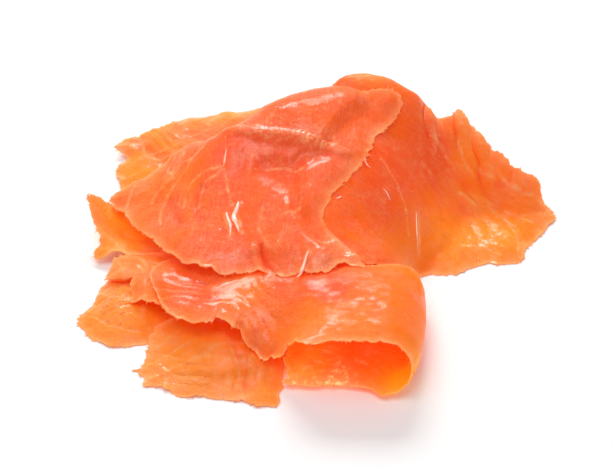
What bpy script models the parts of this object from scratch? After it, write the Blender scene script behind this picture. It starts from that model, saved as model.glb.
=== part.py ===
"""Smoked salmon slices, lying in a loose folded pile as they leave the packet.

Every slice is a thin sheet of fish. Its edge and a few pins inside it are given as (x, y, height) in
millimetres, and the sheet is the thin plate that bends smoothly through them. The slices are laid in
order from the table up, and each one is lifted clear of whatever already lies under it.

+X is to the right, +Y to the back and +Z up. The origin is on the table, under the middle of the pile.
"""

import math

import bmesh
import bpy
import numpy as np

MM = 0.001
PILE_MIDDLE = (-0.6, 3.4, 0)

# The flesh: a slice's thickness, the gap kept between slices, and how steeply one runs off another's edge
THICKNESS = 2.2
LAYER_GAP = 0.7
TABLE_GAP = 0.02
RUN_OFF_SLOPE = 1.1
REST_SOFTNESS = 1.2

# The height map of the pile
MAP_STEP = 1.0
MAP_HALF_X = 112
MAP_HALF_Y = 100
RUN_OFF_CELLS = 24

# The sheets: a thin plate's give keeps it from rippling between its pins
STEPS_PER_POINT = 10
RELAXING_ROUNDS = 30
THIN_PLATE_GIVE = 2.0
STEEPEST = 0.35
LIFTING_ROUNDS = 60
CLOSE_ENOUGH = 0.01
LEAST_SHARE = 0.05

# Each slice: its edge, the pins inside it, the middle that its cells spread from, and its cells a side
LOWER_LEFT = {
    "edge": (
        (-86, -13, 2), (-91, -21, 1), (-93, -29, 1), (-98, -38, 1), (-94, -45, 1), (-88, -51, 1),
        (-80, -54, 1), (-70, -52, 1), (-60, -48, 1), (-56, -38, 1), (-62, -22, 1), (-75, -12, 2),
    ),
    "pins": ((-80, -30, 5), (-86, -40, 3), (-70, -36, 4)),
    "middle": (-78, -34),
    "cells": 12,
}
FRONT = {
    "edge": (
        (-69, -50, 2), (-70, -62, 1), (-74, -65, 1), (-70, -69, 1), (-69, -74, 1), (-62, -75, 1),
        (-55, -79, 1), (-44, -80, 1), (-33, -82, 1), (-25, -84, 1), (-18, -84, 1), (-16, -76, 1),
        (-17, -50, 1), (-30, -42, 4), (-50, -44, 3), (-62, -46, 2),
    ),
    "pins": ((-45, -58, 7), (-28, -60, 6), (-50, -71, 3), (-30, -74, 3)),
    "middle": (-44, -63),
    "cells": 14,
}
UNDER = {
    "edge": (
        (-89, -18, 4), (-82, -16, 6), (-77, -19, 7), (-78, -27, 7), (-76, -35, 7), (-70, -37, 9),
        (-65, -40, 10), (-59, -45, 11), (-45, -42, 12), (-42, -22, 11), (-58, -8, 8), (-84, -5, 6),
        (-87, -11, 5),
    ),
    "pins": ((-70, -26, 10), (-60, -30, 11)),
    "middle": (-65, -24),
    "cells": 12,
}
BACK = {
    "edge": (
        (-94, 71, 5), (-88, 65, 3), (-92, 59, 2), (-90, 48, 2), (-84, 40, 3), (-60, 28, 8),
        (-35, 34, 22), (-12, 44, 30), (2, 58, 30), (-2, 74, 24), (-12, 79, 21), (-23, 84, 17),
        (-36, 88, 12), (-45, 91, 9), (-58, 90, 7), (-70, 86, 7), (-83, 80, 5),
    ),
    "pins": ((-74, 62, 6), (-52, 64, 11), (-30, 62, 19), (-60, 76, 9), (-40, 76, 13)),
    "middle": (-48, 62),
    "cells": 15,
}
LEFT = {
    "edge": (
        (-98, 18, 19), (-91, 21, 14), (-75, 22, 9), (-60, 10, 11), (-58, -6, 11), (-72, -8, 7),
        (-84, -5, 7), (-93, -5, 3), (-95, -1, 4), (-93, 4, 7), (-97, 12, 15),
    ),
    "pins": ((-84, 10, 4), (-78, 2, 4)),
    "middle": (-78, 6),
    "cells": 12,
}
RIGHT = {
    "edge": (
        (39, -12, 1), (51, -12, 1), (64, -6, 1), (79, -4, 1), (84, 5, 1), (91, 14, 1),
        (98, 26, 2), (93, 33, 5), (91, 39, 13), (83, 40, 17), (70, 47, 26), (62, 54, 30),
        (57, 61, 32), (52, 57, 31), (46, 56, 32), (46, 68, 18), (42, 79, 7), (28, 85, 4),
        (12, 87, 4), (-2, 80, 9), (-8, 64, 28), (-10, 40, 34), (-8, 15, 34), (2, -8, 30),
        (12, -22, 23), (27, -19, 12),
    ),
    "pins": (
        (40, 59, 38), (28, 61, 45), (18, 63, 47), (8, 62, 46), (36, 70, 26), (14, 75, 28),
        (28, 50, 39), (14, 51, 40), (2, 51, 39), (20, 20, 34), (20, 36, 37),
        (31, 37, 30), (40, 37, 22), (49, 37, 13), (61, 33, 7), (74, 29, 4), (86, 26, 3),
        (31, 8, 20), (45, 10, 7), (60, 10, 2), (75, 12, 1),
    ),
    "middle": (32, 28),
    "cells": 20,
}
TOP = {
    "edge": (
        (-91, 22, 12), (-84, 12, 13), (-77, 2, 14), (-63, -17, 17), (-54, -27, 19), (-39, -33, 20),
        (-26, -32, 20), (-18, -37, 20), (-10, -37, 24), (0, -38, 26), (6, -34, 28), (14, -37, 24),
        (15, -32, 26), (6, -22, 30), (0, -13, 33), (4, -1, 36), (15, 15, 38), (24, 35, 41),
        (33, 50, 42), (28, 56, 46), (17, 55, 47), (6, 58, 46), (-4, 68, 32), (-20, 65, 27),
        (-34, 52, 27), (-46, 41, 31), (-58, 41, 27), (-73, 32, 19), (-84, 29, 14),
    ),
    "pins": (
        (-2, 56, 45), (-15, 52, 43), (-25, 46, 42), (-40, 33, 39), (-27, 29, 41), (-13, 24, 42),
        (2, 20, 42), (-27, 20, 35), (-13, 15, 36), (2, 10, 38), (-40, 5, 28), (-20, -5, 29),
        (-45, -12, 23), (-5, -15, 31), (-62, 10, 19), (15, 35, 43),
    ),
    "middle": (-20, 10),
    "cells": 20,
}

# The pressed-together folds under the top slice, which fill the middle of the pile
CORE = {
    "edge": (
        (-55, 5, 6), (-42, -17, 8), (-22, -23, 9), (-4, -20, 12), (12, -13, 12), (28, 2, 10),
        (33, 22, 16), (37, 42, 20), (39, 60, 20), (34, 74, 6), (22, 80, 3), (6, 79, 3),
        (-5, 66, 16), (-15, 46, 27), (-30, 38, 18), (-48, 24, 8),
    ),
    "pins": (
        (-30, 24, 29), (-10, 18, 33), (10, 22, 32), (-10, -4, 25), (-32, 0, 19), (12, 0, 24),
        (0, 44, 33), (14, 48, 34), (26, 48, 32), (20, 60, 38), (8, 60, 36), (18, 70, 24),
    ),
    "middle": (-4, 24),
    "cells": 15,
}

# The rolled slice: its upper run from left to right, the bend, and the run back along the table
ROLL_FRONT = (
    (-69, -27, 14), (-60, -48, 13), (-46, -56, 15), (-36, -58, 16), (-31, -63, 12), (-24, -69, 8),
    (-18, -69, 10), (-14, -72, 20), (-6, -75, 23), (2, -74, 24), (10, -75, 24), (20, -75, 24),
)
ROLL_BACK = (
    (-68, -20, 13), (-60, -14, 13), (-40, -14, 15), (-20, -18, 18),
    (0, -24, 20), (14, -28, 20), (26, -27, 20),
)
ROLL_PINS = ((-50, -38, 15), (-30, -42, 17), (-10, -50, 21), (10, -50, 25), (14, -36, 25), (-10, -32, 21))
BEND_FRONT = (29, -79)
BEND_MIDDLE = (38, -52)
BEND_BACK = (37, -27)
BEND_DEPTH = 10
BEND_CELLS = 7
FRONT_LEAN = 7
UNDER_RUN_LEAN = 0.25
UNDER_RUN_END = -19
UNDER_RUN_CELLS = 8
ROLL_CELLS_ALONG = 20
ROLL_CELLS_ACROSS = 9

ORANGE = (0.86, 0.24, 0.06)
RED_ORANGE = (0.82, 0.17, 0.06)
PALE_ORANGE = (0.90, 0.33, 0.09)


def remove_startup_objects():
    for obj in list(bpy.data.objects):
        bpy.data.objects.remove(obj, do_unlink=True)


def salmon(name, colour, roughness):
    material = bpy.data.materials.new(name)
    material.use_nodes = True
    shader = material.node_tree.nodes["Principled BSDF"]
    shader.inputs["Base Color"].default_value = (*colour, 1.0)
    shader.inputs["Roughness"].default_value = roughness
    shader.inputs["Metallic"].default_value = 0.0
    return material


def smooth_curve(points, closed):
    """A Catmull-Rom curve through the points, with STEPS_PER_POINT places after each of them."""
    points = np.array(points, float)
    if closed:
        before, after, beyond = np.roll(points, 1, 0), np.roll(points, -1, 0), np.roll(points, -2, 0)
        here = points
    else:
        padded = np.vstack([2 * points[0] - points[1], points, 2 * points[-1] - points[-2]])
        before, here, after, beyond = padded[:-3], padded[1:-2], padded[2:-1], padded[3:]
    t = np.linspace(0, 1, STEPS_PER_POINT, endpoint=False)[:, None]
    pieces = [
        b + t * (c - a) / 2 + t**2 * (a - 2.5 * b + 2 * c - d / 2) + t**3 * (1.5 * (b - c) + (d - a) / 2)
        for a, b, c, d in zip(before, here, after, beyond)
    ]
    curve = np.vstack(pieces)
    return curve if closed else np.vstack([curve, points[-1]])


def places_along(curve, shares):
    """The places on the curve at these shares, from 0 to 1, of its length."""
    lengths = np.linalg.norm(np.diff(curve[:, :2], axis=0), axis=1)
    walked = np.concatenate([[0.0], np.cumsum(lengths)])
    shares = np.asarray(shares) * walked[-1]
    return np.stack([np.interp(shares, walked, column) for column in curve.T], axis=-1)


def bending(distance_squared):
    """The thin plate's answer to a push at one point: r squared times log r."""
    return 0.5 * distance_squared * np.log(distance_squared + 1e-9)


def thin_plate(points):
    """A function of (x, y) that gives the height of the thin plate through the points."""
    points = np.array(points, float)
    centres, heights = points[:, :2], points[:, 2]
    count = len(points)
    gaps = ((centres[:, None] - centres[None]) ** 2).sum(-1)
    flat = np.column_stack([np.ones(count), centres])
    system = np.zeros((count + 3, count + 3))
    system[:count, :count] = bending(gaps) + THIN_PLATE_GIVE * np.eye(count)
    system[:count, count:] = flat
    system[count:, :count] = flat.T
    answer = np.linalg.solve(system, np.concatenate([heights, np.zeros(3)]))

    def height(x, y):
        at = np.stack([x, y], -1)[..., None, :]
        pull = bending(((at - centres) ** 2).sum(-1)) @ answer[:count]
        return pull + answer[count] + answer[count + 1] * x + answer[count + 2] * y

    return height


def soft_max(a, b):
    return 0.5 * (a + b + np.sqrt((a - b) ** 2 + REST_SOFTNESS**2))


class Pile:
    """The height of the top of what has been laid so far, on a square map."""

    def __init__(self):
        self.xs = np.arange(-MAP_HALF_X, MAP_HALF_X + MAP_STEP, MAP_STEP)
        self.ys = np.arange(-MAP_HALF_Y, MAP_HALF_Y + MAP_STEP, MAP_STEP)
        self.top = np.full((len(self.ys), len(self.xs)), TABLE_GAP - LAYER_GAP)

    def below(self):
        """The top of the pile, falling away outside the slices' edges instead of dropping straight."""
        top = self.top.copy()
        for _ in range(RUN_OFF_CELLS):
            for axis in (0, 1):
                for way in (-1, 1):
                    top = np.maximum(top, np.roll(top, way, axis) - RUN_OFF_SLOPE * MAP_STEP)
        return top

    def read(self, field, x, y):
        column = np.clip((x - self.xs[0]) / MAP_STEP, 0, len(self.xs) - 1.001)
        row = np.clip((y - self.ys[0]) / MAP_STEP, 0, len(self.ys) - 1.001)
        i, j = column.astype(int), row.astype(int)
        u, v = column - i, row - j
        near = field[j, i] * (1 - u) + field[j, i + 1] * u
        far = field[j + 1, i] * (1 - u) + field[j + 1, i + 1] * u
        return near * (1 - v) + far * v

    def cells_under(self, points, triangles):
        """For each cell of the map under a sheet: its row, column, triangle's corners and their shares."""
        found = []
        for corners in triangles:
            a, b, c = points[corners, :2]
            low = np.minimum(np.minimum(a, b), c)
            high = np.maximum(np.maximum(a, b), c)
            columns = np.flatnonzero((self.xs >= low[0]) & (self.xs <= high[0]))
            rows = np.flatnonzero((self.ys >= low[1]) & (self.ys <= high[1]))
            area = (b[0] - a[0]) * (c[1] - a[1]) - (b[1] - a[1]) * (c[0] - a[0])
            if not len(columns) or not len(rows) or abs(area) < 1e-9:
                continue
            row, column = (grid.ravel() for grid in np.meshgrid(rows, columns, indexing="ij"))
            x, y = self.xs[column], self.ys[row]
            share_b = ((x - a[0]) * (c[1] - a[1]) - (y - a[1]) * (c[0] - a[0])) / area
            share_c = ((b[0] - a[0]) * (y - a[1]) - (b[1] - a[1]) * (x - a[0])) / area
            shares = np.stack([1 - share_b - share_c, share_b, share_c], -1)
            inside = (shares >= -1e-9).all(-1)
            names = np.tile(corners, (inside.sum(), 1))
            found.append((row[inside], column[inside], names, shares[inside]))
        return [np.concatenate(part) for part in zip(*found)]

    def lay(self, points, triangles):
        """Lifts the sheet's points until no facet of it touches what lies under it, and adds it."""
        upright = half_depths(points, triangles)
        ground = self.below()
        free = points[:, 2].copy()
        need = self.read(ground, points[:, 0], points[:, 1]) + LAYER_GAP + upright
        points[:, 2] = np.where(free - need > 3 * REST_SOFTNESS, free, soft_max(free, need))
        upright = half_depths(points, triangles)
        row, column, corners, shares = self.cells_under(points, triangles)
        for _ in range(LIFTING_ROUNDS):
            underside = ((points[corners, 2] - upright[corners]) * shares).sum(-1)
            short = ground[row, column] + LAYER_GAP - underside
            if short.max() < CLOSE_ENOUGH:
                break
            lift = np.zeros(len(points))
            push = np.maximum(short, 0)[:, None] * (shares > LEAST_SHARE)
            np.maximum.at(lift, corners.ravel(), push.ravel())
            points[:, 2] += lift
        upright = half_depths(points, triangles)
        upper = ((points[corners, 2] + upright[corners]) * shares).sum(-1)
        np.maximum.at(self.top, (row, column), upper)
        return points


def half_depths(points, triangles):
    """Half of the sheet's upright depth at each point, which grows where the sheet is steep."""
    a, b, c = (points[triangles[:, k]] for k in range(3))
    normals = np.cross(b - a, c - a)
    normals *= np.sign(normals[:, 2:])
    total = np.zeros((len(points), 3))
    for k in range(3):
        np.add.at(total, triangles[:, k], normals)
    up = total[:, 2] / (np.linalg.norm(total, axis=1) + 1e-12)
    return 0.5 * THICKNESS / np.clip(up, STEEPEST, 1)


def triangles_of_grid(across, along):
    """The triangles of a grid whose points are numbered row by row, (across + 1) to a row."""
    columns, rows = np.meshgrid(np.arange(across), np.arange(along))
    corner = (rows * (across + 1) + columns).ravel()
    lower = np.stack([corner, corner + 1, corner + across + 2], -1)
    upper = np.stack([corner, corner + across + 2, corner + across + 1], -1)
    return np.vstack([lower, upper])


def spread_over(outline, middle, cells):
    """A grid's (x, y) points: its square rings become smaller and smaller copies of the outline."""
    u, v = np.meshgrid(np.linspace(-1, 1, cells + 1), np.linspace(-1, 1, cells + 1))
    ring = np.maximum(abs(u), abs(v))
    safe = np.where(ring == 0, 1, ring)
    a, b = u / safe, v / safe
    along = [(a + 1) / 2, 1 + (b + 1) / 2, 2 + (1 - a) / 2]
    side = np.select([b <= -1, a >= 1, b >= 1], along, 3 + (1 - b) / 2)
    closed = np.vstack([outline, outline[:1]])
    edge = places_along(closed, (side / 4) % 1.0)[..., :2]
    middle = np.array(middle, float)
    grid = middle + ring[..., None] * (edge - middle)
    for _ in range(RELAXING_ROUNDS):
        inner = (grid[2:, 1:-1] + grid[:-2, 1:-1] + grid[1:-1, 2:] + grid[1:-1, :-2]) / 4
        grid[1:-1, 1:-1] = 0.5 * (grid[1:-1, 1:-1] + inner)
    return grid.reshape(-1, 2)


def sheet_points(shape):
    """The slice's grid, bent as the thin plate through its edge and pins."""
    outline = smooth_curve(shape["edge"], closed=True)
    flat = spread_over(outline, shape["middle"], shape["cells"])
    height = thin_plate(shape["edge"] + shape["pins"])
    return np.column_stack([flat, height(flat[:, 0], flat[:, 1])])


def grid_mesh(name, points, across, along):
    """A grid of quads with its points moved to these places, in millimetres."""
    mesh = bpy.data.meshes.new(name)
    grid = bmesh.new()
    bmesh.ops.create_grid(grid, x_segments=across, y_segments=along, size=1)
    order = sorted(grid.verts, key=lambda vert: (round(vert.co.y, 4), round(vert.co.x, 4)))
    for vert, place in zip(order, points):
        vert.co = (place - PILE_MIDDLE) * MM
    return mesh, grid


def finish_object(name, mesh, grid, material, collection):
    grid.to_mesh(mesh)
    grid.free()
    mesh.shade_smooth()
    mesh.materials.append(material)
    obj = bpy.data.objects.new(name, mesh)
    collection.objects.link(obj)
    return obj


def add_sheet(name, points, across, along, material, collection):
    """One slice: an open surface through its middle, thickened both ways."""
    mesh, grid = grid_mesh(name, points, across, along)
    obj = finish_object(name, mesh, grid, material, collection)
    shell = obj.modifiers.new("thickness", "SOLIDIFY")
    shell.thickness = THICKNESS * MM
    shell.offset = 0
    return obj


def lay_slice(pile, name, shape, material, collection):
    cells = shape["cells"]
    points = pile.lay(sheet_points(shape), triangles_of_grid(cells, cells))
    return add_sheet(name, points, cells, cells, material, collection)


def lay_core(pile, name, shape, material, collection):
    """The mound under the top slices, flat where it stands on the table."""
    cells = shape["cells"]
    triangles = triangles_of_grid(cells, cells)
    points = sheet_points(shape)
    row, column, corners, shares = pile.cells_under(points, triangles)
    np.maximum.at(pile.top, (row, column), (points[corners, 2] * shares).sum(-1))
    mesh, grid = grid_mesh(name, points, cells, cells)
    extruded = bmesh.ops.extrude_face_region(grid, geom=list(grid.faces), use_keep_orig=True)
    for vert in extruded["geom"]:
        if isinstance(vert, bmesh.types.BMVert):
            vert.co.z = 0
    bmesh.ops.recalc_face_normals(grid, faces=grid.faces)
    return finish_object(name, mesh, grid, material, collection)


def upper_run():
    """The rolled slice's upper run, as rows of points from its front edge to its back edge."""
    shares = np.linspace(0, 1, ROLL_CELLS_ALONG + 1)
    front = places_along(smooth_curve(ROLL_FRONT, closed=False), shares)
    back = places_along(smooth_curve(ROLL_BACK, closed=False), shares)
    height = thin_plate(ROLL_FRONT + ROLL_BACK + ROLL_PINS)
    across = np.linspace(0, 1, ROLL_CELLS_ACROSS + 1)[:, None, None]
    flat = (front + across * (back - front))[..., :2]
    return np.dstack([flat, height(flat[..., 0], flat[..., 1])])


def bend_centres(ys):
    """Where the middle of the bend lies at each y, and how much of the front's lean reaches it."""
    share = (ys - BEND_FRONT[1]) / (BEND_BACK[1] - BEND_FRONT[1])
    bow = BEND_MIDDLE[0] - (BEND_FRONT[0] + BEND_BACK[0]) / 2
    outermost = BEND_FRONT[0] + share * (BEND_BACK[0] - BEND_FRONT[0]) + bow * np.sin(math.pi * share)
    return outermost - BEND_DEPTH, FRONT_LEAN * (1 - share)


def under_run(ends):
    """The rolled slice's lower run, from under the bend to its end, on the table."""
    centres, leans = bend_centres(ends[:, 1])
    shares = np.linspace(0, 1, UNDER_RUN_CELLS + 1)
    x = centres[:, None] + shares * (UNDER_RUN_END - centres[:, None])
    lean = UNDER_RUN_LEAN + (1 - UNDER_RUN_LEAN) * (1 - np.minimum(shares / UNDER_RUN_LEAN, 1)) ** 2
    y = ends[:, 1:2] - leans[:, None] * lean
    return np.dstack([x, y, np.full(x.shape, THICKNESS / 2)])


def bend(top, bottom):
    """A half oval from the end of the upper run to the start of the lower one."""
    angles = np.linspace(0, math.pi, BEND_CELLS + 1)[1:-1]
    points = top + (1 - np.cos(angles))[:, None] / 2 * (bottom - top)
    points[:, 0] += BEND_DEPTH * np.sin(angles)
    return points


def lay_rows(pile, rows):
    count, length = rows.shape[:2]
    laid = pile.lay(rows.reshape(-1, 3), triangles_of_grid(length - 1, count - 1))
    return laid.reshape(rows.shape)


def lay_rolled_slice(pile, name, material, collection):
    upper = upper_run()
    lower = lay_rows(pile, under_run(upper[:, -1]))
    upper = lay_rows(pile, upper)
    rows = [np.vstack([top, bend(top[-1], bottom[0]), bottom]) for top, bottom in zip(upper, lower)]
    along = len(rows[0]) - 1
    return add_sheet(name, np.vstack(rows), along, ROLL_CELLS_ACROSS, material, collection)


def build_pile():
    remove_startup_objects()
    collection = bpy.data.collections.new("smoked_salmon_slices")
    bpy.context.scene.collection.children.link(collection)
    flesh = salmon("salmon_flesh", ORANGE, 0.35)
    red_flesh = salmon("salmon_flesh_red", RED_ORANGE, 0.3)
    pale_flesh = salmon("salmon_flesh_pale", PALE_ORANGE, 0.35)
    pile = Pile()
    lay_slice(pile, "lower_left_slice", LOWER_LEFT, pale_flesh, collection)
    lay_slice(pile, "front_slice", FRONT, pale_flesh, collection)
    lay_slice(pile, "under_slice", UNDER, flesh, collection)
    lay_core(pile, "inner_folds", CORE, flesh, collection)
    lay_rolled_slice(pile, "rolled_slice", flesh, collection)
    lay_slice(pile, "back_slice", BACK, pale_flesh, collection)
    lay_slice(pile, "left_slice", LEFT, pale_flesh, collection)
    lay_slice(pile, "right_slice", RIGHT, flesh, collection)
    lay_slice(pile, "top_slice", TOP, red_flesh, collection)


build_pile()
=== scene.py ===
"""Smoked salmon slices in a loose folded pile: thin wet sheets of flesh with fat lines and torn rims.

Every slice is a sheet spread over its outline, bent as a thin plate through its edge and pins, and then
settled on whatever lies under it. Lengths are in millimetres until a piece is finished, in metres.
"""

import math

import bpy
import numpy as np
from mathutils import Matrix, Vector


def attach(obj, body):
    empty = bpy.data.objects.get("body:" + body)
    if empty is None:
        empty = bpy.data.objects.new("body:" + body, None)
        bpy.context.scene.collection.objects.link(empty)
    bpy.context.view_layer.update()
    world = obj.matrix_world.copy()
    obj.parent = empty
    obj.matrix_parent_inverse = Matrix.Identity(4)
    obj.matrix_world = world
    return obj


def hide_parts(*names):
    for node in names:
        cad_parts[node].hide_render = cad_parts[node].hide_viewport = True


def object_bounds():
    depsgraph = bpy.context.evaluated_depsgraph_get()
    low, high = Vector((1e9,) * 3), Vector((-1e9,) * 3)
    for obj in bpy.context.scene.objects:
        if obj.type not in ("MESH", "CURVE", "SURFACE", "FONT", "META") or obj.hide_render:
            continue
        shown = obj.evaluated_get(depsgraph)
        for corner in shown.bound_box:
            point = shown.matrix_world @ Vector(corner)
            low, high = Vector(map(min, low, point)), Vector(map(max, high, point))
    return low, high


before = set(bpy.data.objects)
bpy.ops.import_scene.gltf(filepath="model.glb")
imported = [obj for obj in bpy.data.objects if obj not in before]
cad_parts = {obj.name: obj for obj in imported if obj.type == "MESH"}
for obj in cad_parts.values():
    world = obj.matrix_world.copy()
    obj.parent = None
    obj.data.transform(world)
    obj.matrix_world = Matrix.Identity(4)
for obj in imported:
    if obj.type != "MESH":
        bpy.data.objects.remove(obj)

CAD_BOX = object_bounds()

MM = 0.001
PILE_MIDDLE = np.array([-0.6, 3.4, 0.0])

# The flesh: how thick a slice is inside and at its torn rim, and how it rests on the slices below
THICKNESS = 2.2
RIM_THICKNESS = 0.3
RIM_TAPER = 9.0
RIM_FULLNESS = 0.7
RIM_BULGE = 0.4
CALM_RIM = 1.5
LAYER_GAP = 0.15
TABLE_GAP = 0.05
ON_TABLE = 0.3
SAG = 3.5
RUN_OFF_SLOPE = 1.1
RUN_OFF_CELLS = 24
STEEPEST = 0.35
LOWEST_POINT = 0.02
LOWEST_LIP = 0.03
TALLEST = 48.5
PRESSED_SHARE = 0.75

# The height map of the pile
MAP_STEP = 1.0
MAP_HALF_X = 112
MAP_HALF_Y = 100
MAP_BLURS = 5

# The outline, its rags, and the grid and the thin plate that are spread over it
STEPS_PER_POINT = 10
OUTLINE_STEP = 0.35
RAG_DEPTH = 1.5
RAG_FADE = 14
RELAXING_ROUNDS = 40
RIM_SEARCH_PARTS = 40
THIN_PLATE_GIVE = 2.0

# The rim's bites and nicks, and how it flutters
BITE_DEPTH, BITE_WIDTH = 0.9, 2.4
NICK_DEPTH, NICK_WIDTH = 0.45, 1.1
FLUTTER_HEIGHT, FLUTTER_WIDTH, FLUTTER_REACH = 0.8, 5, 3.5

# Ripples, each as its height and how far apart its bumps are: a sheet's swell, which fades towards the rim,
# the wet surface's bumps, the rim's waves, and how far a fat line strays
SWELL, LESSER_SWELL, SWELL_FROM_RIM = (0.4, 19), (0.24, 8), 6
BUMPS, SMALL_BUMPS = (0.15, 4.2), (0.08, 2.1)
RIM_WAVES = (0.4, 6)
FAT_STRAY = (0.5, 3)
FIBRE_HEIGHT, FIBRE_LENGTH, FIBRE_WIDTH = 0.06, 14, 2.4
FAT_GROOVE = 0.16

# The marks on the flesh: how wide its lines are, and how red and how pale its depth and its folds make it, as
# painted shade where much flesh lies below and in furrows, and as a painted highlight on raised folds
FAT_LINE_WIDTH = 0.5
FLAKE_LINE_WIDTH = 0.7
DEEP_FLESH = 14.0
DEPTH_SHARE = 0.75
FURROW_SHADE, DARKEST_FURROW_SHADE = 1.1, 1.4
FOLD_HIGHLIGHT, BRIGHTEST_FOLD_HIGHLIGHT = 0.5, 0.6

# Each slice has its solid's edge, pins and middle, except that the front and right slices reach further in
# under their neighbours, and the top slice's middle lies further left. Edge and pins are (x, y, z).
# cells: along one side. grain: the fibres' angle in degrees, and how much the flakes' lines bow.
# flakes: the spacing and strength of their fat lines. bands: x, y, radius, angle, spacing and depth.
# fat_lines: paths. creases: a path, then its height and width. patches and sags: x, y, radius, amount.
LOWER_LEFT = {
    "node": "lower_left_slice", "slot": "salmon_flesh_pale", "cells": 100, "seed": 11,
    "edge": (
        (-86, -13, 2), (-91, -21, 1), (-93, -29, 1), (-98, -38, 1), (-94, -45, 1), (-88, -51, 1),
        (-80, -54, 1), (-70, -52, 1), (-60, -48, 1), (-56, -38, 1), (-62, -22, 1), (-75, -12, 2),
    ),
    "pins": ((-80, -30, 5), (-86, -40, 3), (-70, -36, 4)),
    "middle": (-78, -34), "grain": (20, 0.01), "flakes": (9, 0.35),
    "bands": ((-81, -34, 14, -65, 4.2, 0.45),),
    "fat_lines": (((-88, -24), (-82, -30), (-74, -33), (-66, -34)), ((-90, -38), (-82, -44), (-72, -46))),
    "patches": {
        "gold": ((-84, -42, 10, 0.7),),
        "rose": ((-86, -22, 7, 0.5),),
        "pale": ((-80, -51, 7, 0.5),),
        "wet": ((-82, -28, 8, 1.0), (-84, -38, 8, 0.8)),
    },
}
FRONT = {
    "node": "front_slice", "slot": "salmon_flesh_pale", "cells": 110, "seed": 12,
    "edge": (
        (-69, -50, 2), (-70, -62, 1), (-74, -65, 1), (-70, -69, 1), (-69, -74, 1), (-62, -75, 1),
        (-55, -79, 1), (-44, -80, 1), (-33, -82, 1), (-25, -84, 1), (-18, -84, 1), (-16, -76, 1),
        (-17, -50, 1), (-30, -40, 4), (-48, -36, 4), (-63, -40, 3),
    ),
    "pins": ((-45, -58, 7), (-28, -60, 6), (-50, -71, 3), (-30, -74, 3)),
    "middle": (-44, -63), "grain": (82, 0.006), "flakes": (10, 0.3),
    "bands": ((-52, -66, 14, 70, 5.0, 0.45), (-28, -72, 10, 10, 4.0, 0.4)),
    "fat_lines": (
        ((-66, -56), (-56, -62), (-44, -64)), ((-38, -56), (-34, -66), (-32, -76)),
        ((-60, -70), (-48, -72), (-36, -76)),
    ),
    "creases": (((-36, -54), (-33, -64), (-30, -74), -0.5, 3.0),),
    "patches": {
        "gold": ((-52, -70, 9, 0.4),),
        "rose": ((-44, -54, 9, 0.4),),
        "pale": ((-66, -52, 5, 0.9), (-64, -70, 9, 0.6), (-22, -72, 6, 0.5)),
        "wet": ((-66, -53, 6, 1.0), (-42, -72, 9, 0.5)),
    },
}
UNDER = {
    "node": "under_slice", "slot": "salmon_flesh", "cells": 90, "seed": 13,
    "edge": (
        (-89, -18, 4), (-82, -16, 6), (-77, -19, 7), (-78, -27, 7), (-76, -35, 7), (-70, -37, 9),
        (-65, -40, 10), (-59, -45, 11), (-45, -42, 12), (-42, -22, 11), (-58, -8, 8), (-84, -5, 6),
        (-87, -11, 5),
    ),
    "pins": ((-70, -26, 10), (-60, -30, 11)),
    "middle": (-65, -24), "grain": (15, 0.008), "flakes": (8, 0.3),
    "bands": ((-74, -24, 11, 15, 4.0, 0.45),),
    "fat_lines": (((-74, -14), (-71, -24), (-70, -34)), ((-84, -12), (-72, -13), (-62, -16))),
    "patches": {
        "pale": ((-83, -13, 6, 0.7),),
        "wet": ((-72, -22, 7, 1.0),),
    },
}
BACK = {
    "node": "back_slice", "slot": "salmon_flesh_pale", "cells": 110, "seed": 14,
    "edge": (
        (-94, 71, 5), (-88, 65, 3), (-92, 59, 2), (-90, 48, 2), (-84, 40, 3), (-60, 28, 8),
        (-35, 34, 22), (-12, 44, 30), (2, 58, 30), (-2, 74, 24), (-12, 79, 21), (-23, 84, 17),
        (-36, 88, 12), (-45, 91, 9), (-58, 90, 7), (-70, 86, 7), (-83, 80, 5),
    ),
    "pins": ((-74, 62, 6), (-52, 64, 11), (-30, 62, 19), (-60, 76, 9), (-40, 76, 13)),
    "middle": (-48, 62), "grain": (-60, 0.004), "flakes": (11, 0.25),
    "bands": ((-66, 70, 20, 47, 6.0, 0.6),),
    "fat_lines": (
        ((-75, 84), (-68, 76), (-62, 70), (-56, 66)), ((-82, 76), (-80, 69), (-79, 62), (-84, 60)),
        ((-66, 73), (-62, 70), (-58, 66)), ((-58, 87), (-54, 82), (-50, 76)),
        ((-42, 87), (-36, 80), (-30, 76)), ((-79, 62), (-72, 58), (-66, 60)),
    ),
    "creases": (((-84, 74), (-74, 62), (-66, 52), -0.8, 4.0),),
    "patches": {
        "gold": ((-46, 84, 9, 0.9), (-78, 56, 9, 0.5)),
        "rose": ((-52, 72, 10, 0.6), (-62, 56, 9, 0.4)),
        "deep_and_shade": ((-62, 66, 18, 0.9), (-36, 70, 18, 1.0)),
        "pale": ((-91, 66, 4, 1.0), (-60, 88, 9, 0.4)),
    },
}
LEFT = {
    "node": "left_slice", "slot": "salmon_flesh_pale", "cells": 100, "seed": 15,
    "edge": (
        (-98, 18, 19), (-91, 21, 14), (-75, 22, 9), (-60, 10, 11), (-58, -6, 11), (-72, -8, 7),
        (-84, -5, 7), (-93, -5, 3), (-95, -1, 4), (-93, 4, 7), (-97, 12, 15),
    ),
    "pins": ((-84, 10, 4), (-78, 2, 4)),
    "middle": (-78, 6), "grain": (70, 0.0),
    "bands": ((-84, 6, 12, 60, 5.0, 0.4),),
    "fat_lines": (((-93, 3), (-86, -2), (-78, -3), (-70, -5)),),
    "patches": {
        "gold": ((-84, 9, 12, 1.3),),
        "rose": ((-68, -6, 6, 0.5),),
        "pale": ((-94, 12, 4, 0.6), (-84, -4, 6, 0.7)),
        # The hollow patch paints a glow in the slice's bowl, as light coming through it
        "hollow": ((-80, 8, 14, 0.5),),
    },
}
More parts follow.
